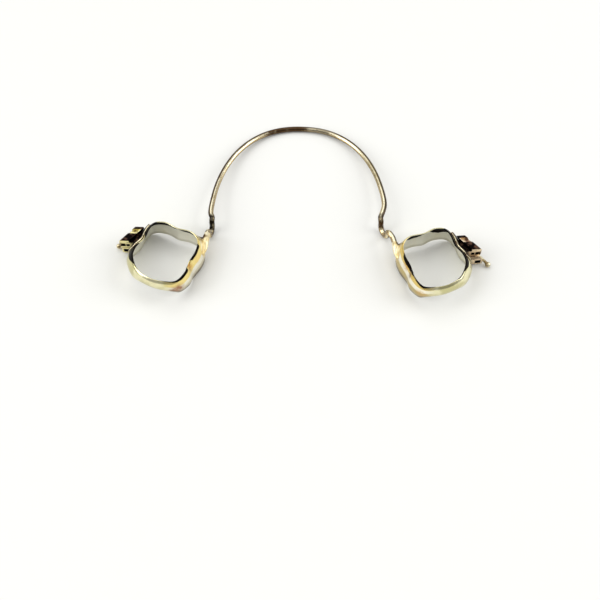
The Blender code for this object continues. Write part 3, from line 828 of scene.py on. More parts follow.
@dataclass
class MolarBand:
    """The strip ring round one molar, from its scalloped foot to its curled, rounded rim.

    Each spot has its position, level, reach, colour and strength. The rim's black line, a
    painted shadow, has places round the rim with its width there, and the units turn that width
    into levels.
    A wave of the dents has its turns round the rim and up the wall, its phase and its size.
    """

    crown: Crown
    steel: StripSteel
    columns: int = 384
    rows: int = 30
    edge_steps: int = 5
    dent: float = 0.000008
    spots: tuple[tuple[float, float, float, Colour, float], ...] = ()
    rim_line: tuple[Pair, ...] = ()
    edge_unit: float = 0.074
    inner_unit: float = 0.11
    inner_start: float = 0.15
    inner_lap: float = 0.04
    edge_start: float = 0.9
    line_start: float = 0.3
    facing_places: tuple[float, ...] = (0.0, 0.4, 3.8, 4.4)
    inside_places: tuple[float, ...] = (0.0, 3.8, 4.4, 13.8, 14.6)
    khaki_places: tuple[float, ...] = (3.0, 4.0, 8.2, 8.9)
    waves: tuple[tuple[float, ...], ...] = ((5, 4, 0.7, 1.0), (9, -6, 2.1, 0.8), (17, 9, 4.0, 0.6))

    def profile(self) -> tuple[Array, Array]:
        """Draw the strip's section, with half-round edges.

        Returns:
            The levels and the offsets round it.
        """
        turn = STRIP / 2 / self.crown.height
        half = np.linspace(0.0, math.pi, self.edge_steps + 2)[1:-1]
        rise = np.linspace(turn, 1.0 - turn, self.rows)
        levels = np.concatenate((rise, 1.0 - turn + turn * np.sin(half), rise[::-1],
                                 turn - turn * np.sin(half)))
        offsets = np.concatenate((np.full(self.rows, STRIP), STRIP / 2 * (1.0 + np.cos(half)),
                                  np.zeros(self.rows), STRIP / 2 * (1.0 - np.cos(half))))
        return levels, offsets

    def dents(self, position: Array, level: Array) -> Array:
        """Press the shallow dents that burnishing left in the wall.

        Args:
            position: places along the rim.
            level: heights on the wall.

        Returns:
            Their depths.
        """
        turn = position * (2.0 * math.pi / len(self.crown.landmarks))
        wave = sum(size * np.sin(around * turn + up * level + phase)
                   for around, up, phase, size in self.waves)
        most = sum(size for *_, size in self.waves)
        return self.dent * wave * np.sin(math.pi * np.clip(level, 0.0, 1.0)) / most

    def soot_and_shade(self, position: Array, level: Array, inner: Array) -> Array:
        """How far each point lies inside the black line of the rim, a painted shadow.

        The line's width is given for places round the rim. In front it lies on the inner
        face, and elsewhere it covers the edge and a little of the outer face too.

        Args:
            position: places along the rim.
            level: heights on the wall.
            inner: share of the strip's thickness towards the tooth.

        Returns:
            The distances, in levels; they are negative outside the line.
        """
        count = len(self.crown.landmarks)
        places, widths = zip(*self.rim_line)
        width = np.interp(position, places, widths, period=count)
        facing = np.interp(position, self.facing_places, (0.0, 1.0, 1.0, 0.0), period=count)
        edge = (width - self.edge_start) * self.edge_unit - facing
        deep = np.interp(position, self.inside_places, (1.0, 1.0, 0.0, 0.0, 1.0), period=count)
        within = np.where(width > self.line_start, self.inner_start + width * self.inner_unit, 0.0) * deep
        within = np.maximum(within, edge + self.inner_lap * (1.0 - deep))
        return level - 1.0 + edge + (within - edge) * np.clip(inner * 2.0 - facing, 0.0, 1.0)

    def build(self) -> None:
        """Make the ring and its finish."""
        levels, offsets = self.profile()
        count, label = len(self.crown.landmarks), self.crown.side.label
        positions = np.arange(self.columns) / self.columns * count
        position, level = np.meshgrid(positions, levels, indexing="ij")
        offset = offsets[None, :] + self.dents(position, level)
        points = self.crown.to_part(self.crown.wall(position, level, offset)).reshape(-1, 3)
        inner = 1.0 - np.broadcast_to(offsets / STRIP, level.shape)
        behind = np.interp(position, self.khaki_places, (1.0, 0.0, 0.0, 1.0), period=count)
        marks = {"level": level.ravel(), "inside": (inner > 0.6).ravel().astype(float),
                 "soot_and_shade": self.soot_and_shade(position, level, inner).ravel(), "behind": behind.ravel()}
        stains = [StainAndShade(self.crown.spot(*spot[:2]), *spot[2:]) for spot in self.spots]
        ring = mesh_object(label + "_band", points, tube_faces(self.columns, len(levels), True),
                           self.steel.make(label + "_strip_steel", stains), marks)
        hand_over(ring, label + "_molar_band")


class RodTree(NodeTree):
    """Geometry nodes that draw a round rod along a line of points.

    The line keeps a thickness, as a share of the rod's radius, in its attribute "share".
    """

    def __init__(self) -> None:
        """Build the tree."""
        super().__init__(bpy.data.node_groups.new("round rod", "GeometryNodeTree"))
        face = self.tree.interface
        face.new_socket("Route", in_out="INPUT", socket_type="NodeSocketGeometry")
        self.inputs = {name: face.new_socket(name, in_out="INPUT", socket_type=kind).identifier
                       for name, kind in (("Radius", "NodeSocketFloat"), ("Sides", "NodeSocketInt"),
                                          ("Finish", "NodeSocketMaterial"))}
        face.new_socket("Rod", in_out="OUTPUT", socket_type="NodeSocketGeometry")
        source = self.node("NodeGroupInput", {}, {})
        route, radius, sides, finish = (Socket(self, source.outputs[name])
                                        for name in ("Route", "Radius", "Sides", "Finish"))
        line = self.add("GeometryNodeMeshToCurve", {}, {"Mesh": route})
        share = self.add("GeometryNodeInputNamedAttribute", {"data_type": "FLOAT"}, {"Name": "share"},
                         "Attribute")
        ring = self.add("GeometryNodeCurvePrimitiveCircle", {"mode": "RADIUS"},
                        {"Resolution": sides, "Radius": 1.0}, "Curve")
        around = self.add("GeometryNodeStoreNamedAttribute",
                          {"data_type": "FLOAT_VECTOR", "domain": "POINT"},
                          {"Geometry": ring, "Name": "around",
                           "Value": self.add("GeometryNodeInputPosition", {}, {})})
        rod = self.add("GeometryNodeCurveToMesh", {}, {"Curve": line, "Profile Curve": around,
                                                       "Scale": share * radius, "Fill Caps": True})
        smooth = self.add("GeometryNodeSetShadeSmooth", {"domain": "FACE"}, {0: rod})
        real = self.add("GeometryNodeRealizeInstances", {}, {0: smooth})
        dressed = self.add("GeometryNodeSetMaterial", {}, {0: real, "Material": finish})
        self.node("NodeGroupOutput", {}, {0: dressed})

    def grow(self, name: str, route: Sequence[Array], shares: Sequence[float], radius: float,
             sides: int, finish: bpy.types.Material) -> bpy.types.Object:
        """Draw a rod.

        Args:
            name: the piece's name.
            route: points of its centre line.
            shares: thickness at each point, as a share of the radius.
            radius: the rod's radius.
            sides: number of points round it.
            finish: its material.

        Returns:
            The rod as a plain mesh.
        """
        last = len(route) - 1
        mesh = bpy.data.meshes.new(name)
        mesh.from_pydata([tuple(point) for point in route],
                         [(index, index + 1) for index in range(last)], [])
        set_marks(mesh, {"share": shares, "along": [index / last for index in range(last + 1)]})
        rod = link_object(name, mesh)
        modifier = rod.modifiers.new("rod", "NODES")
        modifier.node_group = self.tree
        for socket, value in (("Radius", radius), ("Sides", sides), ("Finish", finish)):
            modifier[self.inputs[socket]] = value
        settle(rod)
        clean(rod.data, 1e-8)
        rod.data.set_sharp_from_angle(angle=math.radians(50.0))
        return rod


@dataclass(frozen=True)
class Loop:
    """One adjustment loop.

    Its back leg stands a distance in front of the solder, its legs are a width apart, and
    it bows towards the tongue. The wire passes into the arch at bend, in front of the molars.
    """

    crown: Crown
    back: float
    width: float
    bow: float
    bend: float
    top: float = 0.00250
    corner: float = 0.00070

    def arc(self, centre: Pair, radius: float, first: float, last: float, steps: int) -> list[Pair]:
        """Points along an arc between two angles in degrees, as distance forwards and height."""
        turns = np.radians(np.linspace(first, last, steps + 1))
        return list(zip(centre[0] + radius * np.cos(turns), centre[1] + radius * np.sin(turns)))

    def points(self) -> list[Array]:
        """Draw the loop.

        Returns:
            Its points in the jaw's frame, from the band to the arch.
        """
        start = self.crown.lap(0.0)
        front, half = self.back + self.width, self.width / 2
        profile = [(self.back - self.corner * 2.0, start[2])]
        profile += self.arc((self.back - self.corner, start[2] - self.corner), self.corner, 90.0, 0.0, 4)
        profile += self.arc((self.back + half, WIRE_RADIUS + half), half, 180.0, 360.0, 8)
        profile += self.arc((front + self.corner, self.top - self.corner), self.corner, 180.0, 90.0, 4)
        points = [self.crown.lap(WIRE_LAP), self.crown.lap(WIRE_LAP / 2), start]
        for forward, height in profile:
            share = max(0.0, min(1.0, forward / (front + self.corner)))
            inward = self.bow * share * share * (3.0 - 2.0 * share)
            aside = start[0] - self.crown.side.value * inward
            points.append(np.array((aside, start[1] + forward, height)))
        return points


@dataclass
class ArchWire:
    """The lingual wire: half a superellipse behind the front teeth, with a loop at each end."""

    right: Loop
    left: Loop
    rods: RodTree
    half_width: float = 0.0148
    depth: float = 0.0219
    back: float = 0.0074
    shift: float = -0.0005
    exponent: float = 2.25
    rise: float = 0.0023
    arch_points: int = 15
    step: float = 0.00014
    sides: int = 28
    leg_point: int = 18
    foot_point: int = 14

    def arch_point(self, angle: float) -> Array:
        """Find a point of the arch.

        Args:
            angle: 0 for its right end and pi for its left one.

        Returns:
            The point, in the jaw's frame.
        """
        power = 2.0 / self.exponent
        aside = math.copysign(abs(math.cos(angle)) ** power, math.cos(angle))
        forward = abs(math.sin(angle)) ** power
        return np.array((self.shift + self.half_width * aside, self.back + self.depth * forward,
                         WIRE_RADIUS + self.rise * (1.0 - forward)))

    def bend_angle(self, bend: float) -> float:
        """Angle of the arch at which it is a given distance in front of the molars."""
        return math.asin(((bend - self.back) / self.depth) ** (self.exponent / 2.0))

    def route(self) -> list[Array]:
        """Draw the whole wire.

        Returns:
            Its centre line in the model's frame, from the right band to the left one.
        """
        first = self.bend_angle(self.right.bend)
        last = math.pi - self.bend_angle(self.left.bend)
        arch = [self.arch_point(first + (last - first) * index / (self.arch_points - 1))
                for index in range(self.arch_points)]
        points = self.right.points() + arch + self.left.points()[::-1]
        return [point + JAW_ORIGIN for point in curve_through(points, self.step)]

    def stains(self) -> list[StainAndShade]:
        """Burn the wire in front and at its bends, and paint shade on its loops: the dark marks on the
        loops' legs and on the left loop's foot are painted shade.

        Returns:
            The stains.
        """
        brown, soot_and_shade = tint(78, 58, 38), tint(30, 26, 20)
        right, left = self.right.points(), self.left.points()
        beside = np.array((WIRE_RADIUS, 0.0, 0.0))
        places = [
            (right[-1], 0.0010, soot_and_shade, 1.2), (left[-1], 0.0010, soot_and_shade, 1.2),
            # Painted shade: dark marks on the loops' legs and on the left loop's foot.
            (right[self.leg_point] - beside, 0.0015, brown, 1.5),
            (left[self.leg_point] - beside, 0.0017, soot_and_shade, 1.7),
            (left[self.foot_point], 0.0012, soot_and_shade, 1.2),
        ]
        return [
            StainAndShade((-0.0052, 0.0172, 0.0006), 0.0036, brown, 1.5),
            StainAndShade((-0.0016, 0.0177, 0.0006), 0.0030, brown, 1.5),
            StainAndShade((0.0030, 0.0174, 0.0006), 0.0040, tint(134, 124, 103), 0.9),
            StainAndShade((0.0122, 0.0080, 0.0012), 0.0070, tint(140, 128, 92), 0.7),
        ] + [StainAndShade(tuple(place[0] + JAW_ORIGIN), *place[1:]) for place in places]

    def build(self) -> None:
        """Make the wire and its finish."""
        route = self.route()
        gone = distances(route)
        shares = [wire_radius(min(place, gone[-1] - place)) / WIRE_RADIUS for place in gone]
        finish = DrawnWireSteel().make("drawn_wire_steel", self.stains())
        wire = self.rods.grow("arch_wire", route, shares, WIRE_RADIUS, self.sides, finish)
        self.mark_facing(wire.data)
        hand_over(wire, "lingual_arch_wire")

    def mark_facing(self, mesh: bpy.types.Mesh, climb: float = 0.577) -> None:
        """Mark how far each point of the wire faces up, and away from the arch's middle.

        Args:
            mesh: the wire.
            climb: how steeply the side that faces the front teeth climbs up the wire.
        """
        normals = np.array([vertex.normal for vertex in mesh.vertices])
        points = np.array([vertex.co for vertex in mesh.vertices])
        away = unit((points - JAW_ORIGIN - (self.shift, self.back, 0.0)) * (1.0, 1.0, 0.0))
        away[:, 2] = climb * np.maximum(0.0, away[:, 1])
        outward = (normals * unit(away)).sum(axis=1)
        # These marks place the painted reflections and the painted shade of the wire's finish.
        set_marks(mesh, {"outward": outward, "upward": normals[:, 2]})


@dataclass
class SolderJoint:
    """Solder that covers the wire's end and runs out in a web on the band's wall.

    The web runs from in front of the tongue corner to behind it, between a low and a high
    level, and is filled by a share at its back end. The tail runs on behind the wire's tip.
    """

    crown: Crown
    loop: Loop
    front: float
    fill: float
    web: float
    behind: float = 0.0022
    low: float = 0.16
    high: float = 0.94
    cover: float = 0.00012
    swell: float = 0.00020
    feather: float = 0.0007
    burn: float = 0.00070
    tail: float = 0.0015
    tail_radius: float = 0.00012
    tail_offset: float = 0.00002
    columns: int = 57
    rows: int = 41
    step: float = 0.00015
    sides: int = 28
    narrowing: float = 0.8
    roundness: float = 0.9
    root: float = 0.35
    grain_mm: float = 0.05
    smoothing: int = 26

    def line(self) -> tuple[Array, Array]:
        """Draw the solder round the wire, in the right band's frame.

        Returns:
            Centre points and radii, from the end of the tail behind the wire's tip.
        """
        edge = self.crown.lap(0.0)[1] + self.web
        route = [point for point in curve_through(self.loop.points(), self.step) if point[1] < edge]
        back = np.array(Matrix.Rotation(-self.crown.toe_in, 3, "Z"))
        shift = (self.crown.spacing / 2, 0.0, 0.0)
        line = [back @ (point * (self.crown.side.value, 1.0, 1.0) - shift) for point in route]
        gone = distances(route)
        radii = [wire_radius(place) + self.cover * min(1.0, (gone[-1] - place) / self.feather - 0.3)
                 for place in gone]
        corner = self.crown.front_tongue_corner
        for share in np.linspace(0.1, 1.0, 10):
            position = self.crown.travel(corner, WIRE_LAP + self.tail * share, WIRE_LEVEL)
            offset = STRIP + SEAT_GAP + TIP_RADIUS + (self.tail_offset - TIP_RADIUS) * share
            line.insert(0, self.crown.wall(position, WIRE_LEVEL, offset))
            radii.insert(0, (TIP_RADIUS + self.cover) * (1.0 - share) + self.tail_radius * share)
        return np.array(line), np.array(radii)

    def web_grid(self, line: Array) -> tuple[Array, Array]:
        """Draw the web between the wall and the wire.

        Args:
            line: centre points of the solder round the wire.

        Returns:
            Points of the sheet in the wall and of the one that the eye sees.
        """
        corner = self.crown.front_tongue_corner
        start = self.crown.travel(corner, -self.front, WIRE_LEVEL)
        stop = self.crown.travel(corner, self.behind, WIRE_LEVEL)
        along = np.linspace(-1.0, 1.0, self.columns)[:, None]
        across = np.linspace(-1.0, 1.0, self.rows)[None, :]
        spread = np.sqrt(1.0 - self.narrowing * along * along)
        reach = np.where(across > 0.0, self.high - WIRE_LEVEL, WIRE_LEVEL - self.low)
        level = WIRE_LEVEL + across * spread * reach
        position = start + (stop - start) * (along + 1.0) / 2.0 + 0.0 * across
        foot = self.crown.wall(position, level, STRIP)
        away = np.linalg.norm(foot[:, :, None, :] - line[None, None, :, :], axis=-1)
        wire = line[np.argmin(away, axis=-1)]
        fill = np.where(along > 0.0, np.sqrt(np.maximum(0.0, 1.0 - along ** 4)),
                        1.0 - (1.0 - self.fill) * along * along)
        pull = fill * (1.0 - across * across) ** self.roundness * (1.0 + self.swell / np.min(away, axis=-1))
        return self.crown.wall(position, level, STRIP * self.root), foot + (wire - foot) * pull[..., None]

    def sleeve(self, route: Array, radii: Array) -> tuple[Array, Faces]:
        """Draw the solder round the wire.

        Args:
            route: its centre points.
            radii: its radii there.

        Returns:
            The points and the faces.
        """
        ahead = unit(np.gradient(route, axis=0))
        up = unit(np.cross(ahead, np.cross((0.0, 0.0, 1.0), ahead)))
        aside = np.cross(ahead, up)
        turn = np.linspace(0.0, 2.0 * math.pi, self.sides, endpoint=False)[None, :, None]
        rings = route[:, None, :] + radii[:, None, None] * (np.cos(turn) * up[:, None, :]
                                                            + np.sin(turn) * aside[:, None, :])
        return rings.reshape(-1, 3), tube_faces(len(route), self.sides, False)

    def burns(self, edge: Array) -> list[StainAndShade]:
        """Brown flux stains along these points of the web's front edge."""
        return [StainAndShade(tuple(point), self.burn, tint(84, 58, 30), 2.2)
                for point in self.crown.to_part(edge).tolist()]

    def build(self) -> None:
        """Melt web and sleeve into one smooth lump."""
        label = self.crown.side.label
        line, radii = self.line()
        inner, outer = self.web_grid(line)
        shape = bmesh.new()
        for points, faces in (slab(inner, outer), self.sleeve(line, radii)):
            part = mesh_object("part", self.crown.to_part(points) * MM, faces, None)
            shape.from_mesh(part.data)
            bpy.data.objects.remove(part)
        finish = FlowedSolder().make(label + "_flowed_solder", self.burns(outer[0, self.rows // 2::4]))
        mesh = bpy.data.meshes.new(label + "_solder")
        shape.to_mesh(mesh)
        shape.free()
        lump = link_object(label + "_solder", mesh)
        melt = lump.modifiers.new("melt", "REMESH")
        melt.mode, melt.voxel_size = "VOXEL", self.grain_mm
        smooth = lump.modifiers.new("flow", "SMOOTH")
        smooth.factor, smooth.iterations = 0.5, self.smoothing
        settle(lump)
        lump.data.transform(Matrix.Scale(1.0 / MM, 4))
        lump.data.shade_smooth()
        lump.data.materials.clear()
        lump.data.materials.append(finish)
        hand_over(lump, label + "_solder_joint")


@dataclass
class WeldFlange:
    """The curved pad that is welded on the band's cheek side."""

    crown: Crown
    cheek_middle: float
    length: float = 0.0057
    thickness: float = 0.00025
    low: float = 0.08
    high: float = 0.90
    columns: int = 72
    rows: int = 28
    round_share: float = 0.45
    half_height: float = 0.0018
    corner_start: float = 0.6
    corner_cut: float = 0.06
    bare_start: float = 0.55
    bare_run: float = 0.3
    bare_share: float = 0.5

    @property
    def middle(self) -> float:
        """Level of the pad's centre."""
        return (self.low + self.high) / 2

    def build(self) -> None:
        """Make the pad, with its outer edges rounded over."""
        crown, label = self.crown, self.crown.side.label
        back = crown.travel(self.cheek_middle, -self.length / 2, self.middle)
        front = crown.travel(self.cheek_middle, self.length / 2, self.middle)
        along, across = np.meshgrid(np.linspace(-1.0, 1.0, self.columns),
                                    np.linspace(-1.0, 1.0, self.rows), indexing="ij")
        past = np.maximum(0.0, np.abs(across) - self.corner_start) / (1.0 - self.corner_start)
        corner = 1.0 - self.corner_cut * past ** 2
        position = back + (front - back) * (along * corner + 1.0) / 2.0
        level = self.middle + across * (self.high - self.low) / 2.0
        edge = np.minimum((1.0 - np.abs(along)) * self.length / 2,
                          (1.0 - np.abs(across)) * self.half_height)
        rim = np.clip(edge / (self.thickness * self.round_share), 0.0, 1.0)
        drop = 1.0 - np.sqrt(np.clip(1.0 - (1.0 - rim) ** 2, 0.0, 1.0))
        base = STRIP + SEAT_GAP
        outer = crown.wall(position, level, base + self.thickness * (1.0 - self.round_share * drop))
        points, faces = slab(crown.wall(position, level, base - SEAT_GAP), outer)
        front_end = np.clip((along - self.bare_start) / self.bare_run, 0.0, 1.0) * self.bare_share
        worn = np.maximum(np.clip(drop * 1.4, 0.0, 1.0), front_end)
        marks = {"worn": np.concatenate((np.zeros(worn.size), worn.ravel()))}
        steel = BurntAndShadedSteel(tint(16, 11, 10), tint(232, 220, 184), tint(86, 58, 42))
        pad = mesh_object(label + "_flange", crown.to_part(points), faces,
                          steel.make(label + "_flange_steel"), marks)
        hand_over(pad, label + "_weld_flange")


@dataclass
class Attachment:
    """The tubes, the slot's cap and the ball hook that one flange carries.

    A bore has left, right, low and high sides round the hollows of its tube. The mouths,
    in millimetres, are the openings round which shade is painted.
    """

    flange: WeldFlange
    nodes: dict[str, bpy.types.Object]
    rods: RodTree
    bare: Colour
    aux_back: float
    hook_inset: float
    hook_reach: float
    edge_round: float = 0.000035
    offset: float = math.radians(16.0)
    slant: float = -0.76
    tube_split: float = -0.00065
    groove: float = 0.00034
    groove_low: float = 0.00072
    main_bore: Box = (0.00029, 0.00155, -0.00016, 0.00040)
    aux_bore: Box = (0.00026, 0.00130, -0.00181, -0.00093)
    mouths: tuple[Box, ...] = (
        (0.84, 1.55, -0.16, 0.40), (0.29, 0.71, -0.09, 0.33), (0.42, 1.14, -1.66, -1.08))
    aux_height: float = 0.0014
    aux_reach: float = 0.00140
    hook_radius: float = 0.00025
    hook_shank: float = 0.0014
    hook_run: float = 0.00060
    hook_fall: float = 0.00020
    hook_turn: Triple = (0.35, 0.6, 0.5)
    hook_step: float = 0.00008
    hook_sides: int = 24
    hook_wear: float = 0.75
    face_wear: float = 0.56
    bore_shade: float = -0.4
    end_facing: float = 0.75
    bore_facing: float = 0.6
    ball_radius: float = 0.00045
    ball_steps: int = 18
    frame_reach: float = 0.7

    def frame(self) -> Matrix:
        """Find the attachment's frame: +X to the cheek, +Y forwards, +Z up.

        Returns:
            The frame, in the right band's frame.
        """
        crown, middle = self.flange.crown, self.flange.middle
        offset = STRIP + SEAT_GAP + self.flange.thickness
        place = crown.wall(self.flange.cheek_middle, middle, offset)
        ahead = (crown.wall(self.flange.cheek_middle + self.frame_reach, middle, offset)
                 - crown.wall(self.flange.cheek_middle - self.frame_reach, middle, offset))
        turn = math.atan2(-ahead[0], ahead[1]) + self.offset
        return Matrix.Translation(Vector(place)) @ Matrix.Rotation(turn, 4, "Z")

    def to_part(self, points: Sequence[Sequence[float]]) -> Array:
        """Turn points of the attachment's frame into the model's frame."""
        frame = np.array(self.frame())
        return self.flange.crown.to_part(np.array(points) @ frame[:3, :3].T + frame[:3, 3])

    def wear(self, centres: Array, normals: Array) -> Array:
        """Find the share of bare metal on the faces of a tube.

        The slanting ends are bare, the groove beside the flange is painted black as the shade between
        tube and flange, and the bores are blacker still, as painted shade in the hollows.

        Args:
            centres: middles of the faces, in the attachment's frame.
            normals: their normals.

        Returns:
            One share for each face.
        """
        across, up = centres[:, 0], centres[:, 2]
        ends = abs(normals @ np.array((-self.slant, 1.0, 0.0))) / math.hypot(self.slant, 1.0)
        share = np.full(len(centres), self.face_wear)
        # Painted shade: the groove between the tube and the flange is left dark.
        share[(across < self.groove) & (up > self.groove_low)] = 0.0
        share = np.where(ends > self.end_facing, 1.0, share)
        # Painted shade: the bores are marked darker still.
        for left, right, low, high in (self.main_bore, self.aux_bore):
            hollow = (across > left) & (across < right) & (up > low) & (up < high)
            share[hollow & (ends < self.bore_facing)] = self.bore_shade
        return share

    def dress_solid(self, node: str, steel: BurntAndShadedSteel) -> None:
        """Round the edges of a solid's copy and mark its worn ends, and its groove and bores where shade is
        painted.

        Args:
            node: the solid's name after the side.
            steel: its finish.
        """
        name = self.flange.crown.side.label + "_" + node
        mesh = self.nodes[name].data.copy()
        clean(mesh, 1e-7, 2.0)
        mesh.materials.clear()
        mesh.materials.append(steel.make(name + "_finish"))
        piece = link_object(name.replace("_tube", "_body").replace("_cap", "_cover"), mesh)
        rounder = piece.modifiers.new("worn edges", "BEVEL")
        rounder.width, rounder.segments = self.edge_round, 3
        rounder.limit_method, rounder.angle_limit = "ANGLE", math.radians(40.0)
        rounder.harden_normals = True
        settle(piece)
        corners = self.to_part(((0.0, 0.0, 0.0), (1.0, 0.0, 0.0), (0.0, 1.0, 0.0), (0.0, 0.0, 1.0)))
        axes = (corners[1:] - corners[0]).T
        centres = np.array([face.center for face in piece.data.polygons])
        normals = np.array([face.normal for face in piece.data.polygons])
        worn = self.wear((centres - corners[0]) @ axes, normals @ axes)
        points = (np.array([vertex.co for vertex in piece.data.vertices]) - corners[0]) @ axes * MM
        set_marks(piece.data, {"worn": worn}, "FACE")
        set_marks(piece.data, {"height": points[:, 2], "across": points[:, 0],
                               "place": points[:, 1] - self.slant * points[:, 0]})
        hand_over(piece, name)

    def hook(self) -> None:
        """Make the ball hook on the auxiliary tube."""
        radius, label = self.hook_radius, self.flange.crown.side.label
        beside = self.aux_reach + SEAT_GAP + radius
        level = self.tube_split - self.aux_height / 2
        bend = self.aux_back + self.slant * self.aux_reach + self.hook_inset
        out, back, down = self.hook_turn
        points = [np.array(point) for point in (
            (beside, bend + self.hook_shank, level), (beside, bend, level),
            (beside + self.hook_reach * out, bend - self.hook_run * back, level - self.hook_fall * down),
            (beside + self.hook_reach, bend - self.hook_run, level - self.hook_fall))]
        route = curve_through(points, self.hook_step)
        shares = [1.0] * len(route)
        ahead = unit(route[-1] - route[-2])
        first = -math.acos(radius / self.ball_radius)
        centre = route[-1] - ahead * self.ball_radius * math.sin(first)
        for index in range(1, self.ball_steps + 1):
            turn = first + (math.pi / 2 - first) * index / (self.ball_steps + 0.3)
            route.append(centre + ahead * self.ball_radius * math.sin(turn))
            shares.append(self.ball_radius * math.cos(turn) / radius)
        steel = BurntAndShadedSteel(tint(40, 32, 24), tint(236, 226, 190), tint(150, 130, 92))
        hook = self.rods.grow(label + "_ball_hook", self.to_part(route), shares, radius,
                              self.hook_sides, steel.make(label + "_hook_finish"))
        set_marks(hook.data, {"worn": [self.hook_wear] * len(hook.data.vertices)})
        hand_over(hook, label + "_hook")

    def build(self) -> None:
        """Make and dress every piece of the attachment."""
        body = BurntAndShadedSteel(tint(14, 9, 9), self.bare, tint(112, 84, 68), self.mouths)
        cover = BurntAndShadedSteel(tint(40, 30, 26), tint(176, 152, 116), tint(104, 82, 66))
        self.dress_solid("main_tube", body)
        self.dress_solid("auxiliary_tube", body)
        self.dress_solid("slot_cap", cover)
        self.hook()


@dataclass
class Studio:
    """The floor, the lights and the camera at the photograph's angle."""

    target: Vector = field(default_factory=lambda: Vector((-0.000200, -0.017681, 0.000047)))
    azimuth: float = math.radians(1.485)
    elevation: float = math.radians(60.0)
    distance: float = 0.171
    lens: float = 62.73
    floor_size: float = 3.0
    sky_power: float = 0.40
    sun_power: float = 1.35
    sun_angle: float = math.radians(75.0)
    box_size: float = 0.40
    box_power: float = 1.6

    def lay_floor(self) -> None:
        """Lay the pale card under the appliance."""
        corners = np.array(((-1, -1, 0), (1, -1, 0), (1, 1, 0), (-1, 1, 0))) * self.floor_size / 2
        floor = mesh_object("floor", corners, [(0, 1, 2, 3)], FloorCard().make("floor_card"))

    def hang_light(self, name: str, place: Triple) -> None:
        """Hang a soft light that looks at the appliance.

        Args:
            name: the light's name.
            place: where it hangs.
        """
        lamp = bpy.data.lights.new(name, "AREA")
        lamp.shape, lamp.size, lamp.energy = "SQUARE", self.box_size, self.box_power
        light = link_object(name, lamp)
        light.location = place
        light.rotation_euler = (-Vector(place)).to_track_quat("-Z", "Y").to_euler()

    def light(self) -> None:
        """Set the dim surroundings, an even key light and the soft boxes that the metal shows."""
        scene = bpy.context.scene
        scene.view_settings.view_transform = "Standard"
        world = bpy.data.worlds.new("surroundings")
        scene.world = world
        world.use_nodes = True
        sky = world.node_tree.nodes["Background"].inputs
        sky["Color"].default_value, sky["Strength"].default_value = (1.0, 1.0, 1.0, 1.0), self.sky_power
        sun = bpy.data.lights.new("key_light", "SUN")
        sun.energy, sun.angle = self.sun_power, self.sun_angle
        key = link_object("key_light", sun)
        key.rotation_euler = Vector((-0.25, 0.35, 1.0)).to_track_quat("Z", "Y").to_euler()
        self.hang_light("left_light", (-0.50, -0.10, 0.30))
        self.hang_light("right_light", (0.50, 0.05, 0.30))

    def set_camera(self) -> None:
        """Put the camera where the photograph was taken from."""
        data = bpy.data.cameras.new("camera")
        data.lens, data.sensor_width = self.lens, 36.0
        data.clip_start, data.clip_end = 0.01, 20.0
        camera = link_object("camera", data)
        away = Vector((math.sin(self.azimuth) * math.cos(self.elevation),
                       -math.cos(self.azimuth) * math.cos(self.elevation), math.sin(self.elevation)))
        camera.location = self.target + self.distance * away
        camera.rotation_euler = (-away).to_track_quat("-Z", "Y").to_euler()
        bpy.context.scene.camera = camera

    def build(self) -> None:
        """Set the whole studio."""
        self.lay_floor()
        self.light()
        self.set_camera()


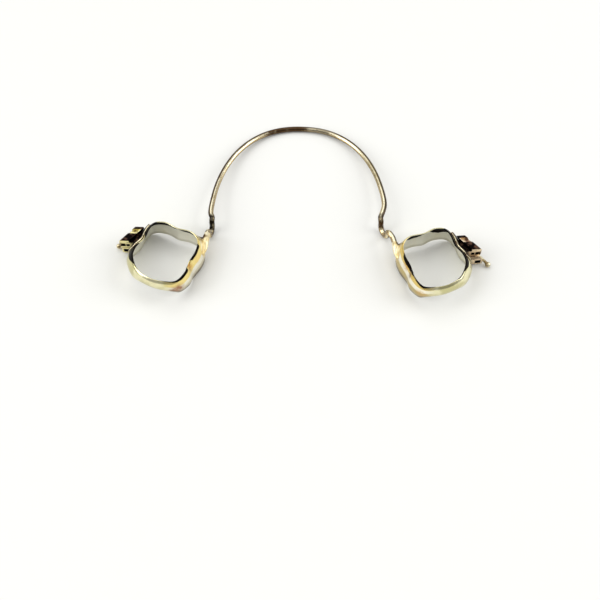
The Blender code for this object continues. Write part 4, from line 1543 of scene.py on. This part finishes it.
def main() -> None:
    """Build and dress the appliance, then the studio."""
    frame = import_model()
    rods = RodTree()
    right, left = Crown(Side.RIGHT, width=0.0092), Crown(Side.LEFT, width=0.0096)
    right_loop = Loop(right, back=0.0031, width=0.0022, bow=0.0024, bend=0.0120)
    left_loop = Loop(left, back=0.0025, width=0.0021, bow=0.00075, bend=0.0098)
    brown, amber, plum = tint(120, 84, 44), tint(196, 148, 78), tint(168, 126, 96)
    steel = StripSteel(shine=0.71, high_gold=0.95, low_gold=0.9, gold=tint(216, 188, 104))
    # On the right band the dark olive spot low on the back wall, at 10.4 and level 0.10, is painted shade at
    # the foot, where the next tooth stands.
    MolarBand(right, steel, spots=(
        (8.0, 0.45, 0.0015, tint(206, 168, 104), 0.8), (5.6, 0.86, 0.0012, amber, 0.7),
        (6.5, 0.84, 0.0008, brown, 0.7), (12.0, 0.35, 0.0016, tint(196, 186, 112), 0.8),
        (10.4, 0.10, 0.0012, tint(96, 86, 54), 0.7)),
        rim_line=((0.0, 3.0), (0.5, 4.0), (1.0, 3.0), (1.4, 0.8), (2.0, 0.5), (2.4, 2.2), (2.9, 3.0),
                  (3.4, 1.0), (3.7, 0.0), (4.7, 0.2), (5.0, 2.0), (5.5, 2.6), (6.2, 2.0), (6.6, 1.7),
                  (7.0, 1.2), (8.0, 2.0), (8.6, 1.2), (9.1, 0.6), (10.4, 0.4), (10.8, 1.4), (11.4, 1.3),
                  (11.9, 2.8), (12.5, 3.0), (13.2, 1.8), (14.2, 2.0), (15.0, 1.8))).build()
    steel = StripSteel(shine=0.56, high_gold=0.95, low_gold=0.35, gold=tint(240, 218, 138))
    MolarBand(left, steel, spots=(
        (5.2, 0.80, 0.0012, tint(240, 206, 128), 0.6), (6.15, 0.90, 0.0010, amber, 0.95),
        (8.0, 0.42, 0.0018, plum, 1.3), (8.3, 0.34, 0.0008, brown, 0.8),
        (12.0, 0.35, 0.0016, tint(206, 196, 126), 0.7)),
        rim_line=((0.0, 2.6), (1.0, 2.2), (1.6, 1.8), (2.0, 0.3), (2.4, 1.6), (3.0, 2.2), (3.8, 1.4),
                  (4.5, 2.0), (5.6, 2.0), (5.85, 0.0), (6.4, 0.0), (6.6, 2.2), (7.5, 2.2), (8.3, 1.5),
                  (9.0, 0.8), (10.5, 0.5), (11.4, 1.2), (11.9, 3.4), (12.5, 4.6), (13.1, 2.6),
                  (13.4, 0.3), (14.0, 0.5), (14.5, 2.6), (15.2, 3.0))).build()
    ArchWire(right_loop, left_loop, rods).build()
    SolderJoint(right, right_loop, front=0.0009, fill=0.40, web=0.0010).build()
    SolderJoint(left, left_loop, front=0.0016, fill=0.85, web=0.0021).build()
    for flange, bare, aux_back, inset, reach in (
            (WeldFlange(right, 13.95), tint(250, 228, 194), -0.0024, 0.0, 0.00005),
            (WeldFlange(left, 14.20), tint(246, 236, 176), -0.0016, 0.0011, 0.00050)):
        flange.build()
        Attachment(flange, frame["nodes"], rods, bare, aux_back, inset, reach).build()
    Studio().build()


if __name__ == "__main__":
    logging.basicConfig(level=logging.INFO, format="%(name)s: %(message)s")
    main()
